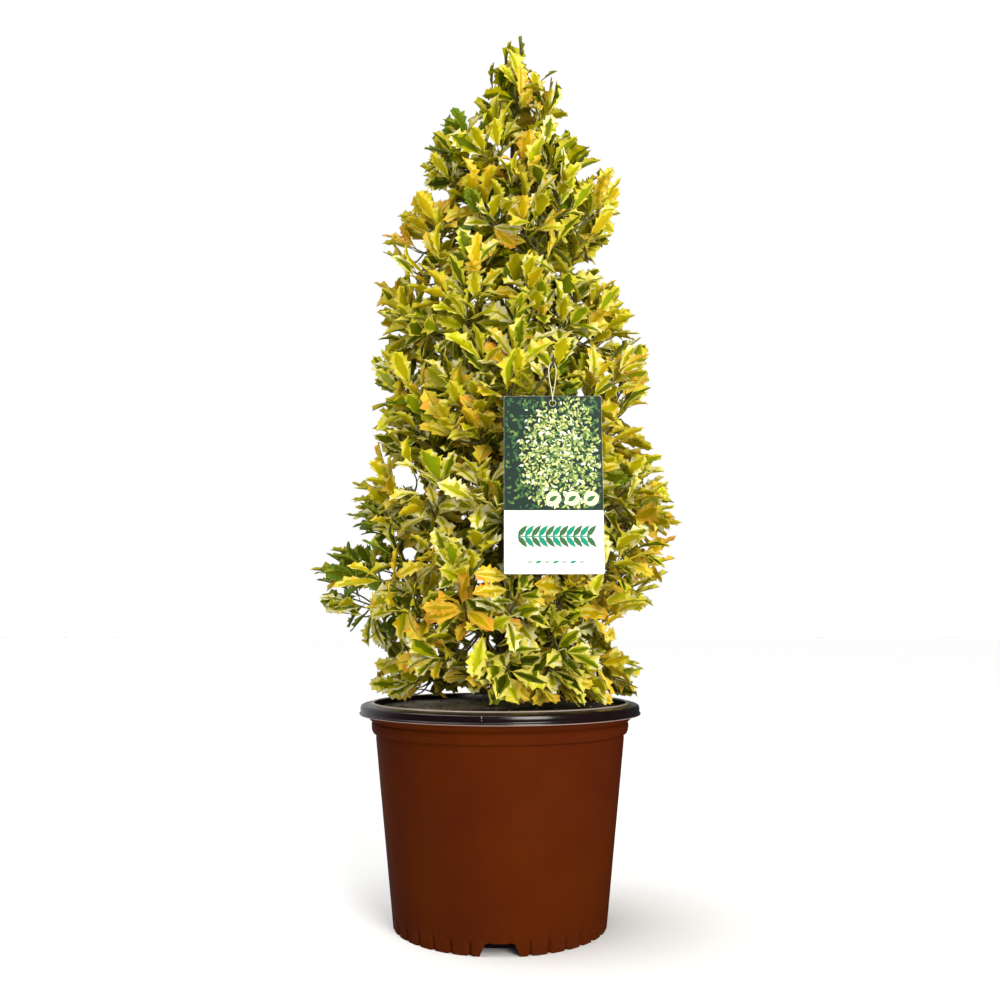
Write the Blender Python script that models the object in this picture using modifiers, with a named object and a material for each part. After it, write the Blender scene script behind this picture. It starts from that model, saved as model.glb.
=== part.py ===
"""Potted variegated holly, as a Blender script.

A turned nursery pot with a rolled lip holds the potting mix. One trunk rises from the mix, with a
tapering bough for each side mass of foliage, and a leafy mass at its top. A card tag hangs on a
loop from a twig at the front. Metres, +Z up. The origin is the centre of the pot's underside, and
the front of the plant faces -Y.
"""

import math
import random

import bmesh
import bpy
from mathutils import Matrix, Vector
from mathutils.bvhtree import BVHTree

# Pot
POT_STEPS = 40
POT_HEIGHT = 0.213
LIP_RADIUS = 0.140
LIP_DEPTH = 0.012
BASE_RADIUS = 0.104
BODY_TOP_RADIUS = 0.1236
BODY_TOP = 0.180
BAND_STEP = 0.1935
WALL = 0.0022
FLOOR = 0.003
BAND_OUT = 0.0022
LEDGE_OUT = 0.0042
BAND_SLOPE = 0.0010
FOOT_HEIGHT = 0.0135
FOOT_RING = 0.0055
FLUTE_DEPTH = 0.0014
CHANNEL_ROOF = 0.0105
CHANNEL_DRAFT = 0.0020
PANEL_RADIUS = 0.0797
PANEL_WALL = 0.0025
PANEL_DRAFT = 0.0018
LIP_SKIN = 0.0026
LIP_EASE = 0.0034
LIP_ROUND = 0.0050
LIP_UNDER = 0.0055
NOTCHES = 4
NOTCH_TOP_WIDTH = 0.024
NOTCH_FOOT_WIDTH = 0.033
NOTCH_HEIGHT = 0.0115
NOTCH_DEPTH = 0.020
GAP = 0.0003

# Potting mix
MIX_TOP = 0.2085
MIX_EDGE = 0.2075
MIX_FLAT_RADIUS = 0.045

# Crown: (height, left, right), how far the furthest leaf tips stand from the pot's axis
OUTLINE = (
    (0.215, 0.128, 0.150),
    (0.270, 0.142, 0.148),
    (0.318, 0.190, 0.158),
    (0.350, 0.193, 0.184),
    (0.380, 0.160, 0.189),
    (0.430, 0.154, 0.182),
    (0.490, 0.134, 0.152),
    (0.560, 0.134, 0.162),
    (0.640, 0.132, 0.134),
    (0.700, 0.136, 0.122),
    (0.755, 0.084, 0.138),
    (0.803, 0.088, 0.090),
    (0.840, 0.062, 0.072),
    (0.890, 0.024, 0.068),
    (0.934, -0.014, 0.022),
)
CROWN_FOOT = 0.2150
CONE_SLOPE = 0.85
CORE = 0.012

# Trunk
LINE_FOOT = 0.1975
TRUNK_TIP = 0.815
TRUNK_LEAN = 0.014
TRUNK_SWAY = 0.0025
TRUNK_RADIUS = 0.0080
TRUNK_TIP_RADIUS = 0.0024
FLARE_RADIUS = 0.0125
FLARE_HEIGHT = 0.011
FLARE_KNOTS = (0.0, 0.4, 1.0)
TRUNK_POINTS = 15

# Tiers of foliage, from the pot up: name, masses, first azimuth, the two heights on the trunk's line
# between which the tier's masses keep, twigs a mass, and how steeply its shoots rise, in degrees
TIERS = (
    ("skirt", 5, -108, 0.085, 0.245, 7, 14),
    ("low", 5, -72, 0.245, 0.355, 5, 38),
    ("middle", 5, -90, 0.355, 0.465, 4, 42),
    ("upper", 4, -45, 0.465, 0.580, 4, 46),
    ("shoulder", 3, -60, 0.580, 0.690, 4, 50),
    ("neck", 2, 20, 0.690, 0.785, 4, 56),
)
BOUGH_TIERS = ("skirt", "low", "middle", "upper", "shoulder")
TOP_TWIGS = 6
RISE_SPREAD = 28
TOP_RISE = 78
BOUGH_REACH = 0.40
BOUGH_RADIUS = 0.0036
BOUGH_TIP_RADIUS = 0.0024
BOUGH_POINTS = 4
BOUGH_FOOT = 0.30
BOUGH_SWAY = 0.05
BOUGH_ROOM = 0.004
HUB_REACH = 0.56
ACROSS_STEP = 0.7549
UP_STEP = 0.5698
ACROSS_SHARE = 0.86
UP_SHARE = 0.84
SHOOT_FLOOR = 0.006
SHOOT_FLOOR_RISE = 0.05
REACH_ROUNDS = 12
SEED = 410

# Twigs and leaves
TWIG_SIDES = 3
KNEE = 0.45
STEM_RADIUS = 0.0032
STEM_TIP_RADIUS = 0.0027
TWIG_RADIUS = 0.0014
TWIG_TIP_RADIUS = 0.0012
LEAF_LENGTH = 0.066
LEAF_WIDTH = 0.032
LEAF_THICKNESS = 0.0018
LEAF_WIDEST = 0.56
LEAF_FOLD = 0.0022
LEAF_STRAY = math.radians(12)
LEAVES_A_TWIG = 7
LEAFY_SHARE = 0.80
LEAF_TRIES = 9
LEAF_TUCK = 0.06
LEAF_SPREAD = 42
LEAF_SPREAD_STEP = 4
END_LEAF_SPREAD = 3
SHORTEST_LEAF = 0.86
END_SHARE = 0.99
FIRST_TWIG = 0.35
TWIGS_SHARE = 0.60
RISE_STRAY = 8
TURN_STRAY = 0.2
SPARE = 0.0006
ROOM = 0.0008
GOLDEN_ANGLE = math.radians(137.5)

# Tag
TAG_WIDTH = 0.087
TAG_HEIGHT = 0.160
TAG_THICKNESS = 0.0006
TAG_HOLE_RADIUS = 0.0028
TAG_HOLE_DROP = 0.0065
TAG_HOLE_POINTS = 12
TAG_LEAN = math.radians(4)
TAG_TOP = Vector((0.047, -0.147, 0.491))
LOOP_HEIGHT = 0.036
LOOP_HALF_WIDTH = 0.0052
LOOP_RADIUS = 0.0006
LOOP_POINTS = 20
LOOP_ROOM = 0.008
TAG_ROOM = 0.003
TAG_MASS = ("middle", 0)
TAG_TWIG_AZIMUTH = math.radians(-78)
TAG_TWIG_CLIMB = 0.25
TAG_TWIG_END = 0.010
TAG_TWIG_ROOT = 0.8

POT_BROWN = (0.150, 0.036, 0.014)
LIP_BLACK = (0.020, 0.013, 0.017)
MIX_BROWN = (0.085, 0.065, 0.048)
BARK = (0.165, 0.115, 0.062)
LEAF_GOLD = (0.500, 0.440, 0.060)
TAG_WHITE = (0.80, 0.82, 0.80)
LOOP_WHITE = (0.75, 0.75, 0.70)


def clear_scene():
    for obj in list(bpy.data.objects):
        bpy.data.objects.remove(obj)


def new_collection(name):
    collection = bpy.data.collections.new(name)
    bpy.context.scene.collection.children.link(collection)
    return collection


def surface(name, colour, roughness):
    material = bpy.data.materials.new(name)
    material.use_nodes = True
    shader = material.node_tree.nodes["Principled BSDF"]
    shader.inputs["Base Color"].default_value = (*colour, 1.0)
    shader.inputs["Roughness"].default_value = roughness
    shader.inputs["Metallic"].default_value = 0.0
    return material


def new_object(name, data, collection, material=None):
    obj = bpy.data.objects.new(name, data)
    collection.objects.link(obj)
    if material:
        obj.data.materials.append(material)
    return obj


def evaluated_mesh(obj):
    bpy.context.view_layer.update()
    graph = bpy.context.evaluated_depsgraph_get()
    return bpy.data.meshes.new_from_object(obj.evaluated_get(graph))


def turned(name, profile, collection, material):
    """A profile of (radius, height) points turned round Z. It runs down its outer side."""
    mesh = bpy.data.meshes.new(name)
    points = [(radius, 0.0, height) for radius, height in profile]
    on_axis = profile[0][0] == 0.0
    edges = [(i, i + 1) for i in range(len(points) - 1)]
    if not on_axis:
        edges.append((len(points) - 1, 0))
    mesh.from_pydata(points, edges, [])
    obj = new_object(name, mesh, collection, material)
    screw = obj.modifiers.new("turn", "SCREW")
    screw.axis = "Z"
    screw.steps = screw.render_steps = POT_STEPS
    screw.use_merge_vertices = True
    screw.merge_threshold = 0.00005
    screw.use_smooth_shade = True
    return obj


def blended(table, key, column):
    """A column of a table, read between its rows at this key."""
    low = table[0]
    for high in table[1:]:
        if key <= high[0]:
            share = max(0.0, (key - low[0]) / (high[0] - low[0]))
            return low[column] + (high[column] - low[column]) * share
        low = high
    return low[column]


def pot_radius(height):
    """The outer radius of the pot's tapering body at this height."""
    return BASE_RADIUS + (BODY_TOP_RADIUS - BASE_RADIUS) * height / BODY_TOP


def inner_wall():
    """The pot's inner wall from its floor up, as (height, radius)."""
    return (
        (FOOT_HEIGHT, pot_radius(FOOT_HEIGHT) - WALL),
        (BODY_TOP + BAND_SLOPE, BODY_TOP_RADIUS - WALL),
        (BODY_TOP + 4 * BAND_SLOPE, BODY_TOP_RADIUS + BAND_OUT - WALL),
        (POT_HEIGHT - LIP_DEPTH, BODY_TOP_RADIUS + LEDGE_OUT - WALL),
    )


def pot_body(collection, cutters, material):
    """The body, with two stepped bands under the lip and a channel round its underside."""
    band, ledge = BODY_TOP_RADIUS + BAND_OUT, BODY_TOP_RADIUS + LEDGE_OUT
    panel = PANEL_RADIUS - PANEL_WALL
    profile = [(0.0, FLOOR), (panel, FLOOR), (panel + PANEL_DRAFT, FOOT_HEIGHT)]
    profile += [(radius, height) for height, radius in inner_wall()]
    profile += [
        (ledge, POT_HEIGHT - LIP_DEPTH),
        (ledge, BAND_STEP + BAND_SLOPE),
        (band, BAND_STEP),
        (band, BODY_TOP + 1.5 * BAND_SLOPE),
        (BODY_TOP_RADIUS, BODY_TOP),
        (pot_radius(FOOT_HEIGHT), FOOT_HEIGHT),
        (BASE_RADIUS, 0.0),
        (BASE_RADIUS - FOOT_RING, 0.0),
        (BASE_RADIUS - FOOT_RING - CHANNEL_DRAFT, CHANNEL_ROOF),
        (PANEL_RADIUS + PANEL_DRAFT, CHANNEL_ROOF),
        (PANEL_RADIUS, 0.0),
        (0.0, 0.0),
    ]
    obj = turned("pot_body", profile, collection, material)
    flute_foot(obj)
    cut_notches(obj, cutters)
    return obj


def flute_foot(obj):
    """Every second corner of the pot's foot steps in, so the foot is fluted all round."""
    mesh = evaluated_mesh(obj)
    obj.modifiers.clear()
    obj.data = mesh
    step = 2 * math.pi / POT_STEPS
    for vertex in mesh.vertices:
        radius = math.hypot(vertex.co.x, vertex.co.y)
        turn = round(math.atan2(vertex.co.y, vertex.co.x) / step)
        if vertex.co.z < 0.0001 and radius > BASE_RADIUS - 0.001 and turn % 2:
            vertex.co.x *= 1 - FLUTE_DEPTH / radius
            vertex.co.y *= 1 - FLUTE_DEPTH / radius


def cut_notches(obj, cutters):
    """Drain notches through the foot: trapezoid prisms that run out along the radius."""
    for index in range(NOTCHES):
        mesh = bpy.data.meshes.new(f"notch_cutter_{index}")
        shape = bmesh.new()
        bmesh.ops.create_cube(shape, size=1.0)
        for vertex in shape.verts:
            low = vertex.co.z < 0
            width = NOTCH_FOOT_WIDTH if low else NOTCH_TOP_WIDTH
            vertex.co.x *= width
            vertex.co.y = BASE_RADIUS - 0.001 + vertex.co.y * NOTCH_DEPTH
            vertex.co.z = -0.002 if low else NOTCH_HEIGHT
        shape.to_mesh(mesh)
        shape.free()
        cutter = new_object(mesh.name, mesh, cutters)
        cutter.rotation_euler.z = index * 2 * math.pi / NOTCHES
        cutter.hide_render = True
        cutter.display_type = "WIRE"
        cut = obj.modifiers.new(f"notch {index}", "BOOLEAN")
        cut.operation = "DIFFERENCE"
        cut.object = cutter


def pot_lip(collection, material):
    """The rolled lip, an upturned channel that sits on the top of the body."""
    seat = POT_HEIGHT - LIP_DEPTH + GAP
    inner = BODY_TOP_RADIUS + LEDGE_OUT - WALL
    profile = [
        (inner, seat),
        (inner + 0.1 * LIP_EASE, POT_HEIGHT - 0.9 * LIP_EASE),
        (inner + LIP_EASE, POT_HEIGHT),
        (LIP_RADIUS - LIP_ROUND, POT_HEIGHT),
        (LIP_RADIUS - 0.16 * LIP_ROUND, POT_HEIGHT - 0.7 * LIP_ROUND),
        (LIP_RADIUS, POT_HEIGHT - LIP_DEPTH),
        (LIP_RADIUS - LIP_SKIN, POT_HEIGHT - LIP_DEPTH),
        (LIP_RADIUS - 1.5 * LIP_SKIN, POT_HEIGHT - LIP_UNDER),
        (inner + LIP_EASE, POT_HEIGHT - LIP_UNDER),
        (inner + LIP_SKIN, seat),
    ]
    return turned("pot_lip", profile, collection, material)


def potting_mix(collection, material):
    """The potting mix that fills the pot, with a slightly mounded top."""
    wall = inner_wall()
    panel = PANEL_RADIUS - PANEL_WALL - GAP
    sides = [(height, radius - GAP) for height, radius in wall if height < MIX_EDGE]
    sides[0] = (FOOT_HEIGHT + GAP, sides[0][1] - GAP)
    profile = [
        (0.0, MIX_TOP),
        (MIX_FLAT_RADIUS, MIX_TOP),
        (blended(wall, MIX_EDGE, 1) - GAP, MIX_EDGE),
    ]
    profile += [(radius, height) for height, radius in reversed(sides)]
    profile += [
        (panel + PANEL_DRAFT, FOOT_HEIGHT + GAP),
        (panel, FLOOR + GAP),
        (0.0, FLOOR + GAP),
    ]
    return turned("potting_mix", profile, collection, material)


def crown_line(height):
    """The straight, leaning line that the crown's masses are laid out round. It starts on the pot's
    axis, a little below the top of the mix."""
    share = (height - LINE_FOOT) / (TRUNK_TIP - LINE_FOOT)
    return Vector((TRUNK_LEAN * share, 0.0, height))


def trunk_knots():
    """The trunk's (centre, radius) from its flat foot to its tip: it flares, tapers and sways."""
    heights = [MIX_TOP + GAP + FLARE_HEIGHT * share for share in FLARE_KNOTS]
    rest = TRUNK_POINTS - len(heights)
    rise = (TRUNK_TIP - heights[-1]) / rest
    heights += [heights[-1] + rise * (i + 1) for i in range(rest)]
    knots = []
    for height in heights:
        share = (height - LINE_FOOT) / (TRUNK_TIP - LINE_FOOT)
        sway = TRUNK_SWAY * math.sin(math.pi * share)
        taper = TRUNK_RADIUS + (TRUNK_TIP_RADIUS - TRUNK_RADIUS) * share
        flare = max(0.0, 1 - (height - MIX_TOP) / FLARE_HEIGHT)
        sideways = Vector((sway * math.sin(9 * share), sway * math.cos(7 * share), 0.0))
        radius = taper + (FLARE_RADIUS - TRUNK_RADIUS) * flare**2
        knots.append((crown_line(height) + sideways, radius))
    knots[0][0].xy = knots[1][0].xy
    return knots


def trunk_at(height):
    """The trunk's centre and radius at this height, between its knots."""
    knots = trunk_knots()
    i = 0
    while i < len(knots) - 2 and height > knots[i + 1][0].z:
        i += 1
    (low, wide), (high, narrow) = knots[i], knots[i + 1]
    share = (height - low.z) / (high.z - low.z)
    return low.lerp(high, share), wide + (narrow - wide) * share


def tube(name, points, radii, collection, material, resolution):
    """A tapering limb: a curve with a round bevel and filled caps."""
    curve = bpy.data.curves.new(name, "CURVE")
    curve.dimensions = "3D"
    curve.bevel_depth = 1.0
    curve.bevel_resolution = resolution
    curve.use_fill_caps = True
    spline = curve.splines.new("POLY")
    spline.points.add(len(points) - 1)
    for place, point, radius in zip(spline.points, points, radii):
        place.co = (*point, 1.0)
        place.radius = radius
    return new_object(name, curve, collection, material)


def trunk(collection, material):
    points, radii = zip(*trunk_knots())
    return tube("trunk", points, radii, collection, material, 4)


def reach(azimuth, height):
    """How far the furthest leaf tips stand from the crown's line."""
    lean = crown_line(height).x
    left = blended(OUTLINE, height, 1) + lean
    right = blended(OUTLINE, height, 2) - lean
    side = (1 + math.cos(azimuth)) / 2
    return left + (right - left) * side


def outward(azimuth):
    return Vector((math.cos(azimuth), math.sin(azimuth), 0.0))


class Space:
    """What one mass keeps to: a wedge between two planes through the crown's line and two cones
    that rise outwards, or all round for the mass at the top."""

    def __init__(self, low, high, azimuth, half_width):
        self.low, self.high = low, high
        self.azimuth, self.half_width = azimuth, half_width

    def holds(self, point, spare=SPARE):
        offset = point - crown_line(point.z)
        radius = math.hypot(offset.x, offset.y)
        climbed = point.z - CONE_SLOPE * radius
        if point.z < CROWN_FOOT or not self.low + spare < climbed < self.high - spare:
            return False
        if self.half_width >= math.pi:
            return True
        turn = math.remainder(math.atan2(offset.y, offset.x) - self.azimuth, 2 * math.pi)
        return radius > CORE and radius * math.sin(self.half_width - abs(turn)) > spare

    def target(self, index):
        """Where the index-th shoot's furthest leaf tip lies: places spread evenly over the outside,
        as (azimuth, height, distance from the crown's line, share of the way up the mass)."""
        across = (0.5 + index * ACROSS_STEP) % 1.0
        up = (0.5 + index * UP_STEP) % 1.0
        azimuth = self.azimuth + self.half_width * (2 * across - 1) * ACROSS_SHARE
        floor = CROWN_FOOT + SHOOT_FLOOR + SHOOT_FLOOR_RISE * up
        foot = self.low + (self.high - self.low) * (0.5 + UP_SHARE * (up - 0.5))
        height = floor
        for _ in range(REACH_ROUNDS):
            height = (height + max(floor, foot + CONE_SLOPE * reach(azimuth, height))) / 2
        return azimuth, height, reach(azimuth, height), up


def bough_route(low, high, azimuth, turn):
    """A bough's points and radii: level where it leaves the trunk, then rising outwards."""
    foot = low + (high - low) * BOUGH_FOOT * (1 + turn)
    foot = max(foot, MIX_TOP + FLARE_HEIGHT + BOUGH_ROOM)
    tip_radius = BOUGH_REACH * reach(azimuth, foot + 0.05)
    trunk_point, trunk_radius = trunk_at(foot)
    start = trunk_radius + GAP
    points, radii = [], []
    for step in range(BOUGH_POINTS):
        share = step / (BOUGH_POINTS - 1)
        height = foot + CONE_SLOPE * tip_radius * (0.25 * share + 0.75 * share**1.6)
        radius = start + (tip_radius - start) * share
        centre = crown_line(height)
        sideways = BOUGH_SWAY * math.sin(3.0 * share + turn * 6)
        if step == 0:
            centre = trunk_point
            sideways = 0.0
        points.append(centre + outward(azimuth + sideways) * radius)
        radii.append(BOUGH_RADIUS + (BOUGH_TIP_RADIUS - BOUGH_RADIUS) * share)
    points[1].z = points[0].z + 0.0004
    return points, radii


def along(path, share):
    """The point that lies this share of the way along a path."""
    place = share * (len(path) - 1)
    i = min(int(place), len(path) - 2)
    return path[i].lerp(path[i + 1], place - i)


def faced_outwards(shape):
    if shape.calc_volume(signed=True) < 0:
        bmesh.ops.reverse_faces(shape, faces=shape.faces)
    return shape


def facing(path, i):
    """The frame of a path's i-th part: Z along it, Y as upright as it can be."""
    i = min(i, len(path) - 2)
    return (path[i + 1] - path[i]).to_track_quat("Z", "Y").to_matrix()


def twig_solid(path, radius, tip_radius, turn=0.0):
    """A three-sided twig: a cone, cut across into parts that are set along the path."""
    parts = len(path) - 1
    shape = bmesh.new()
    bmesh.ops.create_cone(
        shape, cap_ends=True, segments=TWIG_SIDES, radius1=1.0, radius2=1.0, depth=1.0,
        matrix=Matrix.Rotation(turn, 4, "Z"),
    )
    sides = [edge for edge in shape.edges if abs(edge.verts[0].co.z - edge.verts[1].co.z) > 0.5]
    bmesh.ops.subdivide_edges(shape, edges=sides, cuts=parts - 1, use_grid_fill=True)
    for vertex in shape.verts:
        i = round((vertex.co.z + 0.5) * parts)
        size = radius + (tip_radius - radius) * i / parts
        flat = Vector((vertex.co.x * size, vertex.co.y * size, 0.0))
        vertex.co = path[i] + facing(path, i) @ flat
    bmesh.ops.triangulate(shape, faces=shape.faces)
    return faced_outwards(shape)


def leaf_solid(root, tip, side, length):
    """A leaf of eight faces, folded a little along its middle, with its root sunk in its twig."""
    shape = bmesh.new()
    bmesh.ops.create_uvsphere(shape, u_segments=4, v_segments=2, radius=1.0)
    upper = side.cross(tip).normalized()
    for vertex in shape.verts:
        share = LEAF_WIDEST if abs(vertex.co.z) < 0.5 else (vertex.co.z + 1) / 2
        fold = vertex.co.y * LEAF_THICKNESS / 2 + abs(vertex.co.x) * LEAF_FOLD
        vertex.co = (
            root
            + tip * length * share
            + side * vertex.co.x * LEAF_WIDTH / 2
            + upper * fold
        )
    return faced_outwards(shape)


def tree_of(shape):
    """What a leaf is tested against: a solid's faces, with a little room round them."""
    return BVHTree.FromBMesh(shape, epsilon=ROOM)


def limb_tree(points, radii):
    shape = twig_solid(points, 2 * radii[0], 2 * radii[-1])
    tree = tree_of(shape)
    shape.free()
    return tree


class Sprays:
    """The twigs and leaves of one mass, grown by one rule from its stem."""

    def __init__(self, space, targets, rise, obstacles, seed):
        self.space, self.targets, self.obstacles = space, targets, obstacles
        self.rise = rise
        self.random = random.Random(seed)
        self.twigs, self.leaves = [], []

    def grow(self, start, heading, tag_twig=False):
        """The stem bends once, from the bough's heading towards the middle of its shoots' ends."""
        shoots = [self.shoot(*target) for target in self.targets]
        middle = sum((end for end, way in shoots), Vector()) / len(shoots)
        hub = start.lerp(middle, HUB_REACH)
        stem = [start, start + heading * (hub - start).length * KNEE, hub]
        self.twigs.append((twig_solid(stem, STEM_RADIUS, STEM_TIP_RADIUS), stem, 0.0))
        if tag_twig:
            end, way = tag_twig_end()
            self.add_twig(along(stem, TAG_TWIG_ROOT), end - way * 2 * TAG_TWIG_END, way, end)
        shoots.sort(key=lambda shoot: (shoot[0] - start).length)
        for order, (end, way) in enumerate(shoots):
            share = FIRST_TWIG + TWIGS_SHARE * order / (len(shoots) - 1)
            self.add_twig(along(stem, share), end, way)
        self.add_leaves()

    def shoot(self, azimuth, height, radius, up):
        """Where a shoot ends and the way it points, so that its end leaf's tip meets its target."""
        stray = self.random.uniform(-RISE_STRAY, RISE_STRAY)
        rise = math.radians(self.rise + RISE_SPREAD * (up - 0.5) + stray)
        turn = azimuth + self.random.uniform(-TURN_STRAY, TURN_STRAY)
        way = outward(turn) * math.cos(rise) + Vector((0, 0, math.sin(rise)))
        target = crown_line(height) + outward(azimuth) * radius
        return target - way * LEAF_LENGTH, way

    def add_twig(self, root, end, way, beyond=None):
        path = [root, end - way * (end - root).length * KNEE, end]
        if beyond:
            path.append(beyond)
        turn = self.random.uniform(0, 2 * math.pi)
        twig = twig_solid(path, TWIG_RADIUS, TWIG_TIP_RADIUS, turn)
        tree = tree_of(twig)
        crosses = any(tree.overlap(other) for other in self.obstacles)
        inside = all(self.space.holds(path[i]) for i in range(1, len(path)))
        if inside and (beyond or not crosses and clear_of_tag(path)):
            self.twigs.append((twig, path, turn))

    def add_leaves(self):
        """Leaves set round each twig from its three sides in turn. The twigs' end leaves come
        first, because they make the crown's outline."""
        trees = [tree_of(twig) for twig, _, _ in self.twigs]
        for first, last in ((0, 1), (1, LEAVES_A_TWIG)):
            for i, (_, path, turn) in enumerate(self.twigs):
                others = trees[:i] + trees[i + 1:]
                for k in range(first, last):
                    self.add_leaf(path, turn, k, others)

    def add_leaf(self, path, turn, k, others):
        share = END_SHARE - LEAFY_SHARE * k / LEAVES_A_TWIG
        spread = math.radians(END_LEAF_SPREAD if k == 0 else LEAF_SPREAD + LEAF_SPREAD_STEP * k)
        for attempt in range(LEAF_TRIES):
            side = turn + math.radians(-90 + 120 * (k + attempt))
            leaf = self.leaf(path, share, side, spread * (1 - LEAF_TUCK * attempt))
            tree = tree_of(leaf)
            crosses = any(tree.overlap(other) for other in self.obstacles + others)
            if not crosses and self.holds(leaf):
                self.leaves.append(leaf)
                self.obstacles.append(tree)
                return
            leaf.free()

    def leaf(self, path, share, side, spread):
        """A leaf that leans out from one side of its shoot, its upper face towards the shoot's end."""
        frame = facing(path, int(share * (len(path) - 1)))
        side += self.random.uniform(-LEAF_STRAY, LEAF_STRAY)
        across = frame @ Vector((math.cos(side), math.sin(side), 0.0))
        way = frame @ Vector((0.0, 0.0, 1.0))
        tip = (way * math.cos(spread) + across * math.sin(spread)).normalized()
        length = LEAF_LENGTH * (1.0 if share > 0.9 else self.random.uniform(SHORTEST_LEAF, 1.0))
        return leaf_solid(along(path, share), tip, way.cross(across).normalized(), length)

    def holds(self, leaf):
        points = [vertex.co for vertex in leaf.verts]
        points += [(edge.verts[0].co + edge.verts[1].co) / 2 for edge in leaf.edges]
        return clear_of_tag(points) and all(self.space.holds(point) for point in points)


def tag_frame():
    """The tag's own frame: X along its width, Y up its face, Z out of its front."""
    matrix = Matrix.Rotation(math.pi / 2 - TAG_LEAN, 4, "X")
    matrix.translation = TAG_TOP
    return matrix


def loop_route():
    """The loop's points. It runs through the tag's hole from front to back, and twists a quarter
    turn on its way up so that it passes over a twig from left to right."""
    hole = tag_frame() @ Vector((0.0, -TAG_HOLE_DROP, 0.0))
    lowest = hole + Vector((0.0, 0.0, TAG_HOLE_RADIUS - LOOP_RADIUS - 2 * GAP))
    route = []
    for i in range(LOOP_POINTS):
        angle = 2 * math.pi * i / LOOP_POINTS
        up = (1 + math.cos(angle)) / 2
        wide = LOOP_HALF_WIDTH * math.sin(angle)
        route.append(lowest + Vector((wide * up, wide * (1 - up), up * LOOP_HEIGHT)))
    return route


def tag_twig_end():
    """The end of the twig that the loop hangs on, and the way it points."""
    top = loop_route()[0]
    way = (outward(TAG_TWIG_AZIMUTH) + Vector((0, 0, TAG_TWIG_CLIMB))).normalized()
    under = top - Vector((0.0, 0.0, LOOP_RADIUS + GAP + TWIG_RADIUS))
    return under + way * TAG_TWIG_END, way


def clear_of_tag(points):
    """Whether the points leave free the tag, all that is in front of it, and its loop."""
    into = tag_frame().inverted()
    for point in points:
        x, y, z = into @ point
        below_top = -TAG_HEIGHT - TAG_ROOM < y < TAG_ROOM
        if abs(x) < TAG_WIDTH / 2 + TAG_ROOM and below_top and z > -TAG_ROOM:
            return False
        if abs(x) < LOOP_ROOM and 0 < y < LOOP_HEIGHT + TAG_ROOM and abs(z) < LOOP_ROOM:
            return False
    return True


def tag_obstacles():
    """The tag and its loop as obstacles to leaves and twigs."""
    shape = bmesh.new()
    bmesh.ops.create_grid(shape, x_segments=1, y_segments=1, size=0.5)
    for vertex in shape.verts:
        x, y = vertex.co.xy
        vertex.co = tag_frame() @ Vector((x * TAG_WIDTH, (y - 0.5) * TAG_HEIGHT, 0.0))
    card = BVHTree.FromBMesh(shape, epsilon=TAG_ROOM)
    shape.free()
    route = loop_route()
    half = LOOP_POINTS // 2
    return [card] + [
        limb_tree(part, [LOOP_RADIUS, LOOP_RADIUS]) for part in (route[:half], route[half:])
    ]


def largest_island(mesh):
    """Keeps the mass and drops what fusing left loose or sealed inside it."""
    shape = bmesh.new()
    shape.from_mesh(mesh)
    left = set(shape.verts)
    islands = []
    while left:
        island, front = [], [left.pop()]
        while front:
            vertex = front.pop()
            island.append(vertex)
            for edge in vertex.link_edges:
                other = edge.other_vert(vertex)
                if other in left:
                    left.remove(other)
                    front.append(other)
        islands.append(island)
    islands.sort(key=len)
    for island in islands[:-1]:
        bmesh.ops.delete(shape, geom=island, context="VERTS")
    bmesh.ops.triangulate(shape, faces=shape.faces)
    shape.to_mesh(mesh)
    shape.free()


def mesh_object(name, shape, collection):
    mesh = bpy.data.meshes.new(name)
    shape.to_mesh(mesh)
    shape.free()
    return new_object(name, mesh, collection)


def foliage(name, sprays, collection, material):
    """Fuses a mass's stem, twigs and leaves into one solid."""
    loose = new_collection(f"{name}_parts")
    for i, (twig, path, turn) in enumerate(sprays.twigs[1:]):
        mesh_object(f"{name}_twig_{i}", twig, loose)
    for i, leaf in enumerate(sprays.leaves):
        mesh_object(f"{name}_leaf_{i}", leaf, loose)
    mass = mesh_object(name, sprays.twigs[0][0], collection)
    fuse = mass.modifiers.new("fuse", "BOOLEAN")
    fuse.operation = "UNION"
    fuse.operand_type = "COLLECTION"
    fuse.collection = loose
    fuse.solver = "MANIFOLD"
    mesh = evaluated_mesh(mass)
    mass.modifiers.clear()
    for part in list(loose.objects):
        bpy.data.objects.remove(part)
    bpy.data.collections.remove(loose)
    largest_island(mesh)
    mass.data = mesh
    mass.data.materials.clear()
    mass.data.materials.append(material)
    return mass


def trunk_tree(low, high):
    """The stretch of the trunk between two heights, as an obstacle."""
    high = min(high, TRUNK_TIP)
    points, radii = zip(*[trunk_at(low + (high - low) * i / 6) for i in range(7)])
    return limb_tree(points, radii)


def side_masses(collection, bark, leaf):
    number = 0
    for tier, count, first, low, high, twigs, rise in TIERS:
        for i in range(count):
            number += 1
            azimuth = math.radians(first + 360 * i / count)
            turn = (i * 0.618) % 1.0
            space = Space(low, high, azimuth, math.pi / count)
            obstacles = [trunk_tree(max(low, MIX_TOP), high + 0.1)] + tag_obstacles()
            if tier in BOUGH_TIERS:
                points, radii = bough_route(low, high, azimuth, turn)
                tube(f"bough_{tier}_{i + 1}", points, radii, collection, bark, 1)
                heading = (points[-1] - points[-2]).normalized()
                start = points[-1] + heading * GAP
                obstacles.append(limb_tree(points, radii))
            else:
                foot = low + (high - low) * (0.2 + 0.3 * turn)
                heading = outward(azimuth)
                centre, radius = trunk_at(foot)
                start = centre + heading * (radius + GAP)
            targets = [space.target(k) for k in range(twigs)]
            sprays = Sprays(space, targets, rise, obstacles, SEED + number)
            sprays.grow(start, heading, (tier, i) == TAG_MASS)
            foliage(f"foliage_{tier}_{i + 1}", sprays, collection, leaf)


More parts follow.
